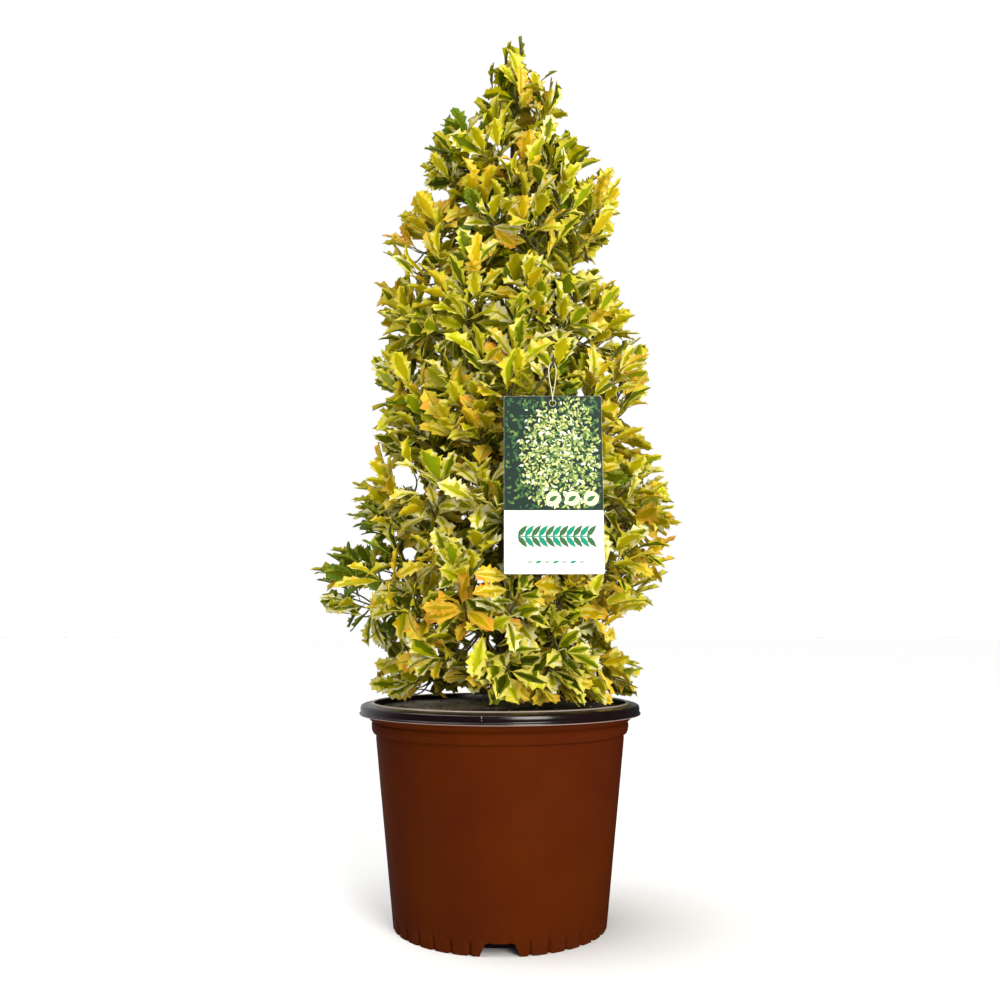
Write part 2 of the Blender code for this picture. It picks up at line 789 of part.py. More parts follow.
def top_mass(collection, leaf):
    """The mass at the top: its shoots stand round the leader, the first of them the highest."""
    low = TIERS[-1][4]
    space = Space(low, 2.0, 0.0, 2 * math.pi)
    targets = []
    for k in range(TOP_TWIGS):
        height = OUTLINE[-1][0] - 0.075 * (k / TOP_TWIGS) ** 0.8
        azimuth = k * GOLDEN_ANGLE
        targets.append((azimuth, height, reach(azimuth, height), 1 - k / TOP_TWIGS))
    sprays = Sprays(space, targets, TOP_RISE, [trunk_tree(low - 0.05, TRUNK_TIP)], SEED)
    heading = Vector((0.0, 0.0, 1.0))
    sprays.grow(trunk_at(TRUNK_TIP)[0] + heading * GAP, heading)
    foliage("foliage_top", sprays, collection, leaf)


def tag(collection, material):
    """A flat card with a hole for its loop."""
    curve = bpy.data.curves.new("tag", "CURVE")
    curve.dimensions = "2D"
    curve.fill_mode = "BOTH"
    curve.extrude = TAG_THICKNESS / 2
    corners = [(-1, 0), (1, 0), (1, -1), (-1, -1)]
    outline = [(x * TAG_WIDTH / 2, y * TAG_HEIGHT) for x, y in corners]
    turns = [2 * math.pi * i / TAG_HOLE_POINTS for i in range(TAG_HOLE_POINTS)]
    hole = [
        (TAG_HOLE_RADIUS * math.cos(turn), TAG_HOLE_RADIUS * math.sin(turn) - TAG_HOLE_DROP)
        for turn in turns
    ]
    for points in (outline, hole):
        spline = curve.splines.new("POLY")
        spline.points.add(len(points) - 1)
        spline.use_cyclic_u = True
        for place, (x, y) in zip(spline.points, points):
            place.co = (x, y, 0.0, 1.0)
    obj = new_object("tag", curve, collection, material)
    obj.matrix_world = tag_frame()
    return obj


def tag_loop(collection, material):
    route = loop_route()
    obj = tube("tag_loop", route, [LOOP_RADIUS] * len(route), collection, material, 1)
    obj.data.splines[0].use_cyclic_u = True
    obj.data.use_fill_caps = False
    return obj


def main():
    clear_scene()
    collection = new_collection("potted_variegated_holly")
    cutters = new_collection("cutters")
    bark = surface("bark", BARK, 0.85)
    leaf = surface("leaf", LEAF_GOLD, 0.42)
    pot_body(collection, cutters, surface("pot_brown", POT_BROWN, 0.36))
    pot_lip(collection, surface("lip_black", LIP_BLACK, 0.32))
    potting_mix(collection, surface("mix_brown", MIX_BROWN, 0.95))
    trunk(collection, bark)
    side_masses(collection, bark, leaf)
    top_mass(collection, leaf)
    tag(collection, surface("tag_card", TAG_WHITE, 0.35))
    tag_loop(collection, surface("loop_white", LOOP_WHITE, 0.5))


main()
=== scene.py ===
"""Looks of the potted variegated holly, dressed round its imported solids.

The crown is grown by the rule that made the solids: a stem on from each bough's tip, shoots that end
on the crown's outline, and leaves set round each shoot. Here the rule is carried on to finer shoots
and real leaves. Metres, +Z up, the pot's axis is the Z axis and the front of the plant faces -Y.
"""

import math
import random
from collections import defaultdict

import bmesh
import bpy
import numpy as np
from mathutils import Matrix, Vector, noise
from mathutils.bvhtree import BVHTree


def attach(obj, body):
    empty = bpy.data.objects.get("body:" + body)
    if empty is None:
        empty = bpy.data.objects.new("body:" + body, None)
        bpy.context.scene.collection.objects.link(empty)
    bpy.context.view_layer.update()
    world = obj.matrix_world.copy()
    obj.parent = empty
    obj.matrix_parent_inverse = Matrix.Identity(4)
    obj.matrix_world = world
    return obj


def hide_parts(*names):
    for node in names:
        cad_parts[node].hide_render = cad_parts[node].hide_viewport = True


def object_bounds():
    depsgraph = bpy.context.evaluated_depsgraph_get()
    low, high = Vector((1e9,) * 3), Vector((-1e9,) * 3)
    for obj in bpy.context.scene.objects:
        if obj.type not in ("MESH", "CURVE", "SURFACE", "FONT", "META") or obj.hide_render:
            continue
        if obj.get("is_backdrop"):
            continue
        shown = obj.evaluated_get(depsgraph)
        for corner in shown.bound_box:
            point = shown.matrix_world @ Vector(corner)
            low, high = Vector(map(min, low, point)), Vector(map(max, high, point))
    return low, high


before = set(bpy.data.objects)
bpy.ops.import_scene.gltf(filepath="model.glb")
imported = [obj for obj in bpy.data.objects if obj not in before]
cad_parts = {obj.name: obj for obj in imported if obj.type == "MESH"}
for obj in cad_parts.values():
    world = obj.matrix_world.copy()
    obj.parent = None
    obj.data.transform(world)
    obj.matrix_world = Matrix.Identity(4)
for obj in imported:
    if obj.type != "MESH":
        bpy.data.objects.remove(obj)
cad_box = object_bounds()

# Camera, solved from the ellipses of the pot's lip and foot
CAMERA_DISTANCE = 1.0
CAMERA_HEIGHT = 0.285
CAMERA_PITCH = math.radians(7.5)
CAMERA_LENS = 35.1
CAMERA_SENSOR = 36.0

# Light: watts a square metre from the sun, watts from the panel, and the sky's radiance. Glossy rays
# see a dark room in front of the plant, and a pale backdrop behind it and to its left.
SUN_LEVEL = 3.2
SUN_ANGLE = math.radians(62)
SUN_COLOUR = (1.0, 0.985, 0.955)
SUN_PLACE = Vector((-0.70, 0.05, 2.6))
SUN_AIM = Vector((0.0, 0.0, 0.0))
PANEL_LEVEL = 38.0
PANEL_SIZE = (0.8, 1.3)
PANEL_COLOUR = (1.0, 0.96, 0.86)
PANEL_PLACE = Vector((0.66, -1.50, 0.80))
PANEL_AIM = Vector((0.0, 0.0, 0.35))
SKY_LEVEL = 0.22
ROOM_IN_GLOSS = 0.06
BACKDROP_IN_GLOSS = 0.60
BACKDROP_WAY = (-0.60, 0.78, 0.18)
BACKDROP_EDGE = 0.55
STAGE_SIZE = 30.0
STAGE_COLOUR = (0.85, 0.86, 0.88)

# Pot, the source's own sizes
POT_HEIGHT = 0.213
LIP_RADIUS = 0.140
LIP_DEPTH = 0.012
BASE_RADIUS = 0.104
BODY_TOP_RADIUS = 0.1236
BODY_TOP = 0.180
BAND_STEP = 0.1935
WALL = 0.0022
FLOOR = 0.003
BAND_OUT = 0.0022
LEDGE_OUT = 0.0042
COLLAR_OUT = 0.0080
FOOT_HEIGHT = 0.0135
FOOT_RING = 0.0055
CHANNEL_ROOF = 0.0105
CHANNEL_DRAFT = 0.0020
PANEL_RADIUS = 0.0797
PANEL_WALL = 0.0025
PANEL_DRAFT = 0.0018
LIP_FOOT = POT_HEIGHT - LIP_DEPTH
LEDGE_RADIUS = BODY_TOP_RADIUS + LEDGE_OUT
MOUTH_RADIUS = LEDGE_RADIUS - WALL
LIP_SKIN = 0.0026
LIP_EASE = 0.0034
NOTCHES = 4
NOTCH_TOP_WIDTH = 0.026
NOTCH_FOOT_WIDTH = 0.038
NOTCH_HEIGHT = 0.0115
NOTCH_MIDDLE = BASE_RADIUS - 0.001
NOTCH_DEPTH = 0.020
NOTCH_UNDER = 0.002
GAP = 0.0003
MIX_TOP = 0.2085
MIX_EDGE = 0.2075

# Pot, finer forms
AXIS_RADIUS = 0.0004
FLUTES = 36
STEPS_A_FLUTE = 12
FLUTE_DEPTH = 0.0024
FLUTE_HALF_WIDTH = 0.13
FLUTE_WALL = 0.0012
FLUTE_FADE = 0.0022
FLUTE_SCALLOP = 0.0026
SCALLOP_TOP = 0.004
FOOT_ROWS = 14
LIP_STEPS = 240
POT_CREASE = math.radians(38)
LIP_CREASE = math.radians(45)
MOULD_TICK_AZIMUTH = math.radians(-96.6)
MOULD_TICK_SIZE = (0.0008, 0.0009, 0.0044)
MOULD_NIB_AZIMUTH = math.radians(-81.8)
MOULD_NIB_SIZE = (0.0016, 0.0014, 0.0016)

# Potting mix: its surface, the flakes and grains on it, and the middle and two radii of the pale crust,
# which is partly a painted sheen
MIX_PLUG_FOOT = 0.150
MIX_SINK = 0.0006
MIX_MOUND_RADIUS = 0.045
MIX_RELIEF = 0.0012
MIX_TROUGH = 0.0032
MIX_TROUGH_WIDTH = 0.020
MIX_TROUGH_SLOPE = 2.2
CHIPS = 150
CHIP_EDGE = BODY_TOP_RADIUS - 0.006
CHIP_FREE_RADIUS = 0.016
CHIP_SIZES = (0.0022, 0.0055)
CHIP_TILT = 0.25
GRAIN_SHARE = 0.06
GRAIN_SIZES = (0.0010, 0.0016)
CRUST_AND_PAINTED_SHEEN_MIDDLE = (-0.040, 0.015, 0.0)
CRUST_AND_PAINTED_SHEEN_RADII = (0.055, 0.075)

# Crown: (height, left, right), how far the furthest leaf tips stand from the pot's axis
OUTLINE = (
    (0.215, 0.128, 0.150),
    (0.270, 0.142, 0.148),
    (0.318, 0.190, 0.158),
    (0.350, 0.193, 0.184),
    (0.380, 0.160, 0.189),
    (0.430, 0.154, 0.182),
    (0.490, 0.134, 0.152),
    (0.560, 0.134, 0.162),
    (0.640, 0.132, 0.134),
    (0.700, 0.136, 0.122),
    (0.755, 0.084, 0.138),
    (0.803, 0.088, 0.090),
    (0.840, 0.062, 0.072),
    (0.890, 0.024, 0.068),
    (0.934, -0.014, 0.022),
)
CROWN_FOOT = 0.2140
CONE_SLOPE = 0.85
REACH_SPARE = 0.002
# Where the outline draws in between sprays: side (1 right, -1 left), height, share of the reach that
# is left, half of the dip's height
DIPS = (
    (1, 0.501, 0.80, 0.016),
    (1, 0.281, 0.76, 0.026),
    (1, 0.660, 0.62, 0.028),
    (-1, 0.864, 0.42, 0.020),
    (-1, 0.738, 0.78, 0.018),
    (-1, 0.672, 0.88, 0.014),
    (-1, 0.522, 0.88, 0.012),
    (-1, 0.376, 0.90, 0.012),
    (-1, 0.270, 0.96, 0.016),
)
DIP_SIDE = 0.5
# Gaps through which the sky shows from the front: (x, height) as seen at the axis, radius
WINDOWS = (
    ((-0.100, 0.439), 0.0100), ((-0.142, 0.315), 0.0080), ((-0.118, 0.339), 0.0060),
    ((-0.089, 0.683), 0.0090), ((-0.085, 0.431), 0.0055), ((-0.091, 0.362), 0.0060),
    ((0.011, 0.798), 0.0045), ((-0.074, 0.228), 0.0050), ((-0.063, 0.750), 0.0050),
    ((0.088, 0.588), 0.0045), ((0.123, 0.587), 0.0045), ((0.099, 0.231), 0.0045),
    ((0.035, 0.898), 0.0045), ((0.096, 0.721), 0.0040), ((0.128, 0.527), 0.0040),
    ((-0.120, 0.253), 0.0040), ((0.067, 0.669), 0.0040), ((0.086, 0.531), 0.0040),
    ((0.085, 0.770), 0.0040), ((0.112, 0.554), 0.0040), ((-0.081, 0.658), 0.0040),
)
WINDOW_EDGE = -0.0012
# Low on the left of the front the mix shows under the crown: azimuth, half width, foot there
BARE_SIDE = (math.radians(-136), math.radians(28), 0.236)
# Sprays that stand out to the reach: azimuth, height
TUFTS = (
    (10, 0.892), (0, 0.862), (0, 0.790), (-4, 0.775), (4, 0.764), (0, 0.720), (0, 0.640), (0, 0.598),
    (-10, 0.588), (0, 0.545), (0, 0.470), (176, 0.704), (186, 0.706),
    (0, 0.410), (0, 0.350), (0, 0.335), (4, 0.330), (0, 0.262), (0, 0.250), (-7, 0.243), (5, 0.256),
    (180, 0.828), (176, 0.806), (184, 0.812), (3, 0.784), (-4, 0.340), (8, 0.333), (2, 0.246),
    (180, 0.815), (180, 0.700), (180, 0.640), (180, 0.565), (180, 0.437), (180, 0.400),
    (180, 0.352), (180, 0.335), (180, 0.255), (188, 0.238), (-66, 0.233), (-78, 0.231),
    (-88, 0.232), (-56, 0.234), (-44, 0.236), (-72, 0.240), (-50, 0.243), (-84, 0.241), (-38, 0.238),
    (-84, 0.785), (-92, 0.765), (-88, 0.745), (-86, 0.600), (-90, 0.625),
)

# Trunk and boughs
LINE_FOOT = 0.1975
TRUNK_TIP = 0.815
TRUNK_LEAN = 0.014
TRUNK_SWAY = 0.0025
TRUNK_RADIUS = 0.0080
TRUNK_TIP_RADIUS = 0.0024
FLARE_RADIUS = 0.0125
FLARE_HEIGHT = 0.011
FLARE_KNOTS = (0.0, 0.4, 1.0)
TRUNK_POINTS = 15
TRUNK_RINGS = 190
TRUNK_SIDES = 22
TRUNK_SUNK = 0.004
KNOT_SWELL = 0.10
KNOT_HALF_HEIGHT = 0.006
BOUGH_REACH = 0.40
BOUGH_RADIUS = 0.0036
BOUGH_TIP_RADIUS = 0.0024
BOUGH_POINTS = 4
BOUGH_FOOT = 0.30
BOUGH_SWAY = 0.05
BOUGH_ROOM = 0.004
BOUGH_TURN = 0.618
BOUGH_RINGS = 34
BOUGH_SIDES = 14
BOUGH_SUNK = 0.7
COLLAR_SWELL = 0.0022
COLLAR_FADE = 2.2
BARK_CREASE = math.radians(60)

# Tiers of foliage: name, masses, first azimuth, the two heights on the crown's line between which the
# masses keep, the source's twigs a mass, how steeply its shoots rise, and the shoots a mass here
TIERS = (
    ("skirt", 5, -108, 0.085, 0.245, 7, 14, 31),
    ("low", 5, -72, 0.245, 0.355, 5, 38, 31),
    ("middle", 5, -90, 0.355, 0.465, 4, 42, 30),
    ("upper", 4, -45, 0.465, 0.580, 4, 46, 30),
    ("shoulder", 3, -60, 0.580, 0.690, 4, 50, 29),
    ("neck", 2, 20, 0.690, 0.785, 4, 56, 24),
)
BOUGH_TIERS = ("skirt", "low", "middle", "upper", "shoulder")
TOP_TWIGS = 6
TOP_SHOOTS = 20
TOP_RISE = 78
TOP_DEPTH = 0.075
TOP_INNER_DEPTH = 0.9
RISE_SPREAD = 28
HUB_REACH = 0.56
ACROSS_STEP = 0.7549
UP_STEP = 0.5698
ACROSS_SHARE = 0.86
UP_SHARE = 0.84
SHOOT_FLOOR = 0.006
SHOOT_FLOOR_RISE = 0.05
REACH_ROUNDS = 12
KNEE = 0.45
FIRST_TWIG = 0.35
TWIGS_SHARE = 0.60
RISE_STRAY = 8
TURN_STRAY = 0.2
ROOT_SHARES = (0.2, 0.35, 0.5, 0.65, 0.8)
LEAST_SHOOT = 0.022
BEND_COST = 1.9
GOLDEN_ANGLE = math.radians(137.5)
SEED = 410

# Twigs and leaves
STEM_RADIUS = 0.0024
STEM_TIP_RADIUS = 0.0017
TWIG_RADIUS = 0.0014
SHOOT_RADIUS = 0.0010
SHOOT_TIP_RADIUS = 0.0007
STEM_POINTS = 12
TWIG_POINTS = 9
STEM_SIDES = 8
SHOOT_SIDES = 6
INNER_DEPTHS = (0.84, 0.68)
LEAF_LENGTH = 0.044
LEAF_SIZES = (0.82, 1.14)
LEAF_VARIANTS = 18
LEAVES_A_SHOOT = 12
LEAF_ROUNDS = ((0, 1), (1, 4), (4, LEAVES_A_SHOOT))
LEAF_SPREADS = (8, 38, 54, 64, 70, 74, 78, 80, 82, 84, 86, 88)
END_LEAVES = (0.0012, 0.003, 0.004)
LEAF_GAPS = (0.005, 0.008)
LOWEST_LEAF = 0.12
LEAF_TURN_STRAY = 0.25
LEAF_TWIST = 0.45
LEAF_TRIES = 5
TRY_SHORTER = 0.07
TRY_CLOSER = 0.10
LIGHT_PULL = 0.55
LIGHT_RISE = 0.5
SPREAD_DROOP = 0.10
LOW_DROOP = 0.55
LOW_DROOP_TOP = 0.290
CELL = 0.05
LIMB_ROOM = 1.3
THIRD_TURN = 2.0944

# A leaf of unit length: its columns of points, its parts, and the zones that take a palette's colours
LEAF_COLUMNS = 7
LEAF_MIDRIB = 3
UNDER_COLUMNS = (1, 3, 5)
LEAF_THICKNESS = 0.009
MIDRIB_DEPTH = 0.006
STALK_LENGTH = 0.11
FIRST_TOOTH = 0.35
LAST_TOOTH = 0.92
RIM, BLOTCH, HEART, UNDER_RIM, UNDER_HEART, STALK, BLUSH = range(7)
UNDERSIDE, UPPER_SIDE = 0, 1
PROXY_SHARE = 0.85
PROXY_FACES = ((0, 1, 2), (1, 3, 4), (1, 4, 2), (3, 5, 4))

# Tag and its loop
TAG_WIDTH = 0.087
TAG_HEIGHT = 0.160
TAG_THICKNESS = 0.0006
TAG_HOLE_RADIUS = 0.0028
TAG_HOLE_DROP = 0.0065
TAG_LEAN = math.radians(4)
TAG_TOP = Vector((0.047, -0.147, 0.491))
TAG_ROOM = 0.0012
TAG_CORNER = 0.0012
TAG_PANEL_SHARE = 0.65
TAG_BORDER = 0.0001
TAG_LEAVES = 1500
INK_RISE = 0.00003
LOOP_HEIGHT = 0.036
LOOP_HALF_WIDTH = 0.0052
LOOP_RADIUS = 0.0006
LOOP_POINTS = 48
COARSE_LOOP_POINTS = 12
LOOP_ROOM = 0.006
TAG_MASS = ("middle", 0)
TAG_TWIG_AZIMUTH = math.radians(-78)
TAG_TWIG_CLIMB = 0.25
TAG_TWIG_END = 0.010
TAG_TWIG_ROOT = 0.8
TWIG_UNDER_LOOP = 0.0014

# The tag's print
HOLE_ROOM = 0.0010
PRINT_EDGE = 0.0006
BUSH_MIDDLE = (0.006, 0.52)
BUSH_SIZE = (0.036, 0.056)
PRINT_LEAF_LENGTHS = (0.0026, 0.0054)
DISC_RADIUS = 0.0066
DISC_INSET = 0.0105
DISC_STEP = 0.0165
RULE_INSET = 0.010
RULE_WIDTH = 0.0004
SPRIG_RISE = 0.0330
SPRIG_PAIRS = 11
SPRIG_STEP = 0.0060
ROW_LEAVES = 7
ROW_RISE = 0.0096
ROW_STEP = 0.0075
CARD_COLOUR = (0.62, 0.63, 0.62)
CARD_ROUGHNESS = 0.34
INK_COLOURS = {
    "forest": (0.016, 0.030, 0.024),
    "green": (0.040, 0.115, 0.045),
    "leaf": (0.130, 0.210, 0.055),
    "pale": (0.330, 0.400, 0.120),
    "yellow": (0.500, 0.530, 0.200),
    "cream": (0.600, 0.680, 0.400),
    "white": (0.720, 0.730, 0.620),
    "teal": (0.012, 0.220, 0.130),
    "grey": (0.330, 0.340, 0.330),
}
INK_NAMES = list(INK_COLOURS)

# Leaf colours, and the palettes that deal them to a leaf's zones: rim, blotch, heart, rim and heart
# of the underside, stalk, and the blush on some rims
LEAF_COLOURS = {
    "cream": (0.61, 0.575, 0.310),
    "lemon": (0.575, 0.51, 0.100),
    "gold": (0.62, 0.415, 0.034),
    "amber": (0.62, 0.28, 0.026),
    "lime": (0.39, 0.42, 0.003),
    "olive": (0.285, 0.284, 0.001),
    "ochre": (0.410, 0.293, 0.002),
    "grass": (0.195, 0.248, 0.002),
    "moss": (0.090, 0.115, 0.001),
    "deep": (0.029, 0.037, 0.001),
    "fresh": (0.095, 0.165, 0.006),
    "sage": (0.230, 0.270, 0.024),
    "straw": (0.50, 0.450, 0.028),
    "khaki": (0.300, 0.262, 0.001),
    "stalk": (0.30, 0.30, 0.008),
}
PALETTES = {
    "variegated": ("cream", "olive", "moss", "straw", "khaki", "stalk", "lemon"),
    "bright": ("lemon", "lime", "olive", "straw", "khaki", "stalk", "gold"),
    "grassy": ("lemon", "grass", "moss", "straw", "grass", "stalk", "cream"),
    "pale": ("cream", "lemon", "olive", "straw", "khaki", "stalk", "gold"),
    "golden": ("gold", "lemon", "ochre", "straw", "ochre", "stalk", "amber"),
    "honey": ("lemon", "ochre", "olive", "gold", "ochre", "stalk", "gold"),
    "amber": ("amber", "gold", "ochre", "gold", "ochre", "stalk", "gold"),
    "dark": ("lemon", "moss", "deep", "straw", "moss", "stalk", "lime"),
    "fair": ("cream", "sage", "moss", "straw", "sage", "stalk", "cream"),
    "green": ("fresh", "fresh", "moss", "sage", "moss", "stalk", "moss"),
    "shade": ("olive", "moss", "deep", "khaki", "moss", "moss", "olive"),
}
PALETTE_WEIGHTS = {
    "variegated": 19, "bright": 17, "grassy": 10, "pale": 13, "golden": 14, "honey": 9, "amber": 3,
    "dark": 10, "fair": 5, "green": 2,
}
LEAF_GLOSS = 0.06
LEAF_ROUGHNESS = 0.38
# Sprays deep inside the crown mostly take the "shade" palette: greener leaves, made darker as painted
# shade.
SHADE_DEPTH = 0.55
SHADE_SHARE = 0.75
# Places on the crown whose sprays take one palette: (x, z) of the middle, radius, palette, share
PLACES = (
    ((-0.175, 0.350), 0.045, "green", 0.9),
    ((-0.125, 0.375), 0.020, "green", 0.8),
    ((-0.060, 0.815), 0.035, "green", 0.7),
    ((0.062, 0.880), 0.018, "green", 1.0),
    ((0.158, 0.365), 0.042, "amber", 0.65),
    ((0.142, 0.462), 0.034, "golden", 0.6),
    ((0.020, 0.905), 0.028, "golden", 0.8),
    ((0.080, 0.775), 0.026, "golden", 0.7),
    ((-0.011, 0.718), 0.018, "golden", 0.8),
    ((-0.076, 0.708), 0.018, "golden", 0.8),
    ((-0.030, 0.455), 0.035, "golden", 0.6),
    ((-0.040, 0.405), 0.035, "pale", 0.6),
)
STRAY_LEAF = 0.22


def new_material(name, colour, roughness, specular=0.5):
    material = bpy.data.materials.new(name)
    material.use_nodes = True
    shader = material.node_tree.nodes["Principled BSDF"]
    shader.inputs["Base Color"].default_value = (*colour, 1.0)
    shader.inputs["Roughness"].default_value = roughness
    shader.inputs["Specular IOR Level"].default_value = specular
    return material


class Nodes:
    """Short calls that add nodes to a material and join them to its shader."""

    def __init__(self, material):
        self.tree = material.node_tree
        self.shader = self.tree.nodes["Principled BSDF"]
        self.place = self.tree.nodes.new("ShaderNodeTexCoord").outputs["Object"]

    def link(self, out, into):
        self.tree.links.new(out, into)

    def stretched(self, scale):
        mapping = self.tree.nodes.new("ShaderNodeMapping")
        mapping.inputs["Scale"].default_value = scale
        self.link(self.place, mapping.inputs["Vector"])
        return mapping.outputs["Vector"]

    def noise(self, scale, detail=4.0, roughness=0.55, stretch=None):
        node = self.tree.nodes.new("ShaderNodeTexNoise")
        node.inputs["Scale"].default_value = scale
        node.inputs["Detail"].default_value = detail
        node.inputs["Roughness"].default_value = roughness
        self.link(self.stretched(stretch) if stretch else self.place, node.inputs["Vector"])
        return node.outputs["Fac"]

    def cells(self, scale):
        node = self.tree.nodes.new("ShaderNodeTexVoronoi")
        node.inputs["Scale"].default_value = scale
        self.link(self.place, node.inputs["Vector"])
        return node.outputs["Distance"]

    def height(self, low, high):
        """From 0 below one height to 1 above another."""
        split = self.tree.nodes.new("ShaderNodeSeparateXYZ")
        self.link(self.place, split.inputs["Vector"])
        return self.spread(split.outputs["Z"], low, high)

    def round_patch(self, centre, inner, outer):
        """From 1 inside one radius round a place on the ground plan to 0 outside another."""
        away = self.tree.nodes.new("ShaderNodeVectorMath")
        away.operation = "DISTANCE"
        away.inputs[1].default_value = centre
        self.link(self.stretched((1.0, 1.0, 0.0)), away.inputs[0])
        return self.spread(away.outputs["Value"], inner, outer, 1.0, 0.0)

    def spread(self, out, low, high, to_low=0.0, to_high=1.0):
        node = self.tree.nodes.new("ShaderNodeMapRange")
        for name, value in (
            ("From Min", low), ("From Max", high), ("To Min", to_low), ("To Max", to_high)
        ):
            node.inputs[name].default_value = value
        self.link(out, node.inputs["Value"])
        return node.outputs["Result"]

    def times(self, a, b):
        node = self.tree.nodes.new("ShaderNodeMath")
        node.operation = "MULTIPLY"
        for out, socket in zip((a, b), node.inputs):
            if isinstance(out, float):
                socket.default_value = out
            else:
                self.link(out, socket)
        return node.outputs["Value"]

    def mixed(self, share, a, b):
        """Colour a where the share is 0, and colour b where it is 1."""
        node = self.tree.nodes.new("ShaderNodeMix")
        node.data_type = "RGBA"
        for colour, socket in ((a, node.inputs[6]), (b, node.inputs[7])):
            if isinstance(colour, tuple):
                socket.default_value = (*colour, 1.0)
            else:
                self.link(colour, socket)
        self.link(share, node.inputs[0])
        return node.outputs[2]

    def colour(self, out):
        self.link(out, self.shader.inputs["Base Color"])

    def roughness(self, out):
        self.link(out, self.shader.inputs["Roughness"])

    def bump(self, out, distance, strength=1.0):
        node = self.tree.nodes.new("ShaderNodeBump")
        node.inputs["Distance"].default_value = distance
        node.inputs["Strength"].default_value = strength
        self.link(out, node.inputs["Height"])
        self.link(node.outputs["Normal"], self.shader.inputs["Normal"])


def pot_plastic():
    """Brown moulded plastic: cloudy colour, faint scuffs, and dust and splashes of mix at the foot."""
    material = new_material("pot_plastic", (0.050, 0.008, 0.002), 0.42, specular=0.006)
    nodes = Nodes(material)
    nodes.shader.inputs["Specular Tint"].default_value = (1.0, 0.80, 0.45, 1.0)
    cloud = nodes.spread(nodes.noise(9.0, 3.0), 0.35, 0.68)
    base = nodes.mixed(cloud, (0.058, 0.0092, 0.0022), (0.072, 0.0130, 0.0015))
    streak = nodes.spread(nodes.noise(60.0, 5.0, 0.7, (1.0, 1.0, 0.10)), 0.62, 0.76, 0.0, 0.10)
    base = nodes.mixed(streak, base, (0.10, 0.028, 0.008))
    low = nodes.spread(nodes.height(0.0, 0.022), 0.0, 1.0, 1.0, 0.0)
    dust = nodes.times(low, nodes.spread(nodes.noise(120.0, 6.0, 0.75), 0.48, 0.72, 0.0, 0.30))
    nodes.colour(nodes.mixed(dust, base, (0.10, 0.045, 0.022)))
    scuff = nodes.spread(nodes.noise(30.0, 8.0, 0.72, (1.0, 1.0, 0.35)), 0.30, 0.75, 0.36, 0.50)
    nodes.roughness(scuff)
    nodes.bump(nodes.noise(420.0, 3.0), 0.00006)
    return material


def lip_plastic():
    """Near-black plastic with a plum tint, with a pale painted highlight round the crest at its top and
    along the bead at its lower edge.
    """
    material = new_material("lip_plastic", (0.012, 0.005, 0.008), 0.24, specular=0.50)
    nodes = Nodes(material)
    cloud = nodes.spread(nodes.noise(14.0, 4.0), 0.35, 0.70)
    base = nodes.mixed(cloud, (0.0042, 0.0008, 0.0014), (0.0095, 0.0026, 0.0042))
    scuff = nodes.spread(nodes.noise(90.0, 7.0, 0.75, (1.0, 1.0, 4.0)), 0.62, 0.80, 0.0, 0.3)
    base = nodes.mixed(scuff, base, (0.050, 0.036, 0.034))
    # The pale ring round the top of the lip is a painted highlight.
    crest_painted_highlight = nodes.spread(nodes.height(POT_HEIGHT - 0.0015, POT_HEIGHT - 0.0009), 0.0, 1.0, 0.0, 0.9)
    base = nodes.mixed(crest_painted_highlight, base, (0.34, 0.28, 0.25))
    # The pale line along the bead at the lip's foot is a painted highlight.
    above = nodes.height(LIP_FOOT - 0.0004, LIP_FOOT)
    below = nodes.spread(nodes.height(LIP_FOOT + 0.0005, LIP_FOOT + 0.0010), 0.0, 1.0, 1.0, 0.0)
    nodes.colour(nodes.mixed(nodes.times(above, below), base, (0.30, 0.21, 0.19)))
    nodes.roughness(nodes.spread(nodes.noise(40.0, 6.0, 0.7), 0.3, 0.72, 0.17, 0.28))
    nodes.bump(nodes.noise(500.0, 2.0), 0.00003)
    return material


def crust_material():
    """The top of the mix: dark peat with a smooth grey-brown crust over the middle and left. The pale
    crust is partly a painted sheen, where the mix catches a reflection of the light, and the dark peat
    round its edge is partly painted shade.
    """
    material = new_material("mix", (0.10, 0.085, 0.05), 0.40, specular=0.50)
    nodes = Nodes(material)
    grain = nodes.spread(nodes.noise(150.0, 8.0, 0.7), 0.30, 0.74)
    crust = nodes.mixed(grain, (0.42, 0.365, 0.29), (0.62, 0.550, 0.45))
    patches = nodes.spread(nodes.noise(17.0, 4.0, 0.6), 0.54, 0.66, 0.0, 0.80)
    crust = nodes.mixed(patches, crust, (0.110, 0.080, 0.062))
    peat = nodes.mixed(grain, (0.014, 0.009, 0.008), (0.050, 0.036, 0.028))
    # Inside the round patch is the pale crust, partly a painted sheen. Outside it is the dark peat, partly
    # painted shade.
    pale = nodes.round_patch(CRUST_AND_PAINTED_SHEEN_MIDDLE, *CRUST_AND_PAINTED_SHEEN_RADII)
    nodes.colour(nodes.mixed(pale, peat, crust))
    nodes.roughness(nodes.spread(pale, 0.0, 1.0, 0.85, 0.55))
    nodes.bump(nodes.noise(330.0, 8.0, 0.8), 0.00012)
    return material


def mix_material(name, dark, pale, scale):
    """Damp bark and peat."""
    material = new_material(name, dark, 0.92, specular=0.15)
    nodes = Nodes(material)
    grain = nodes.spread(nodes.noise(scale, 8.0, 0.75), 0.34, 0.70)
    nodes.colour(nodes.mixed(grain, dark, pale))
    nodes.roughness(nodes.spread(nodes.noise(scale * 0.5, 4.0), 0.3, 0.7, 0.72, 0.97))
    nodes.bump(nodes.noise(scale * 2.2, 8.0, 0.8), 0.0006)
    return material


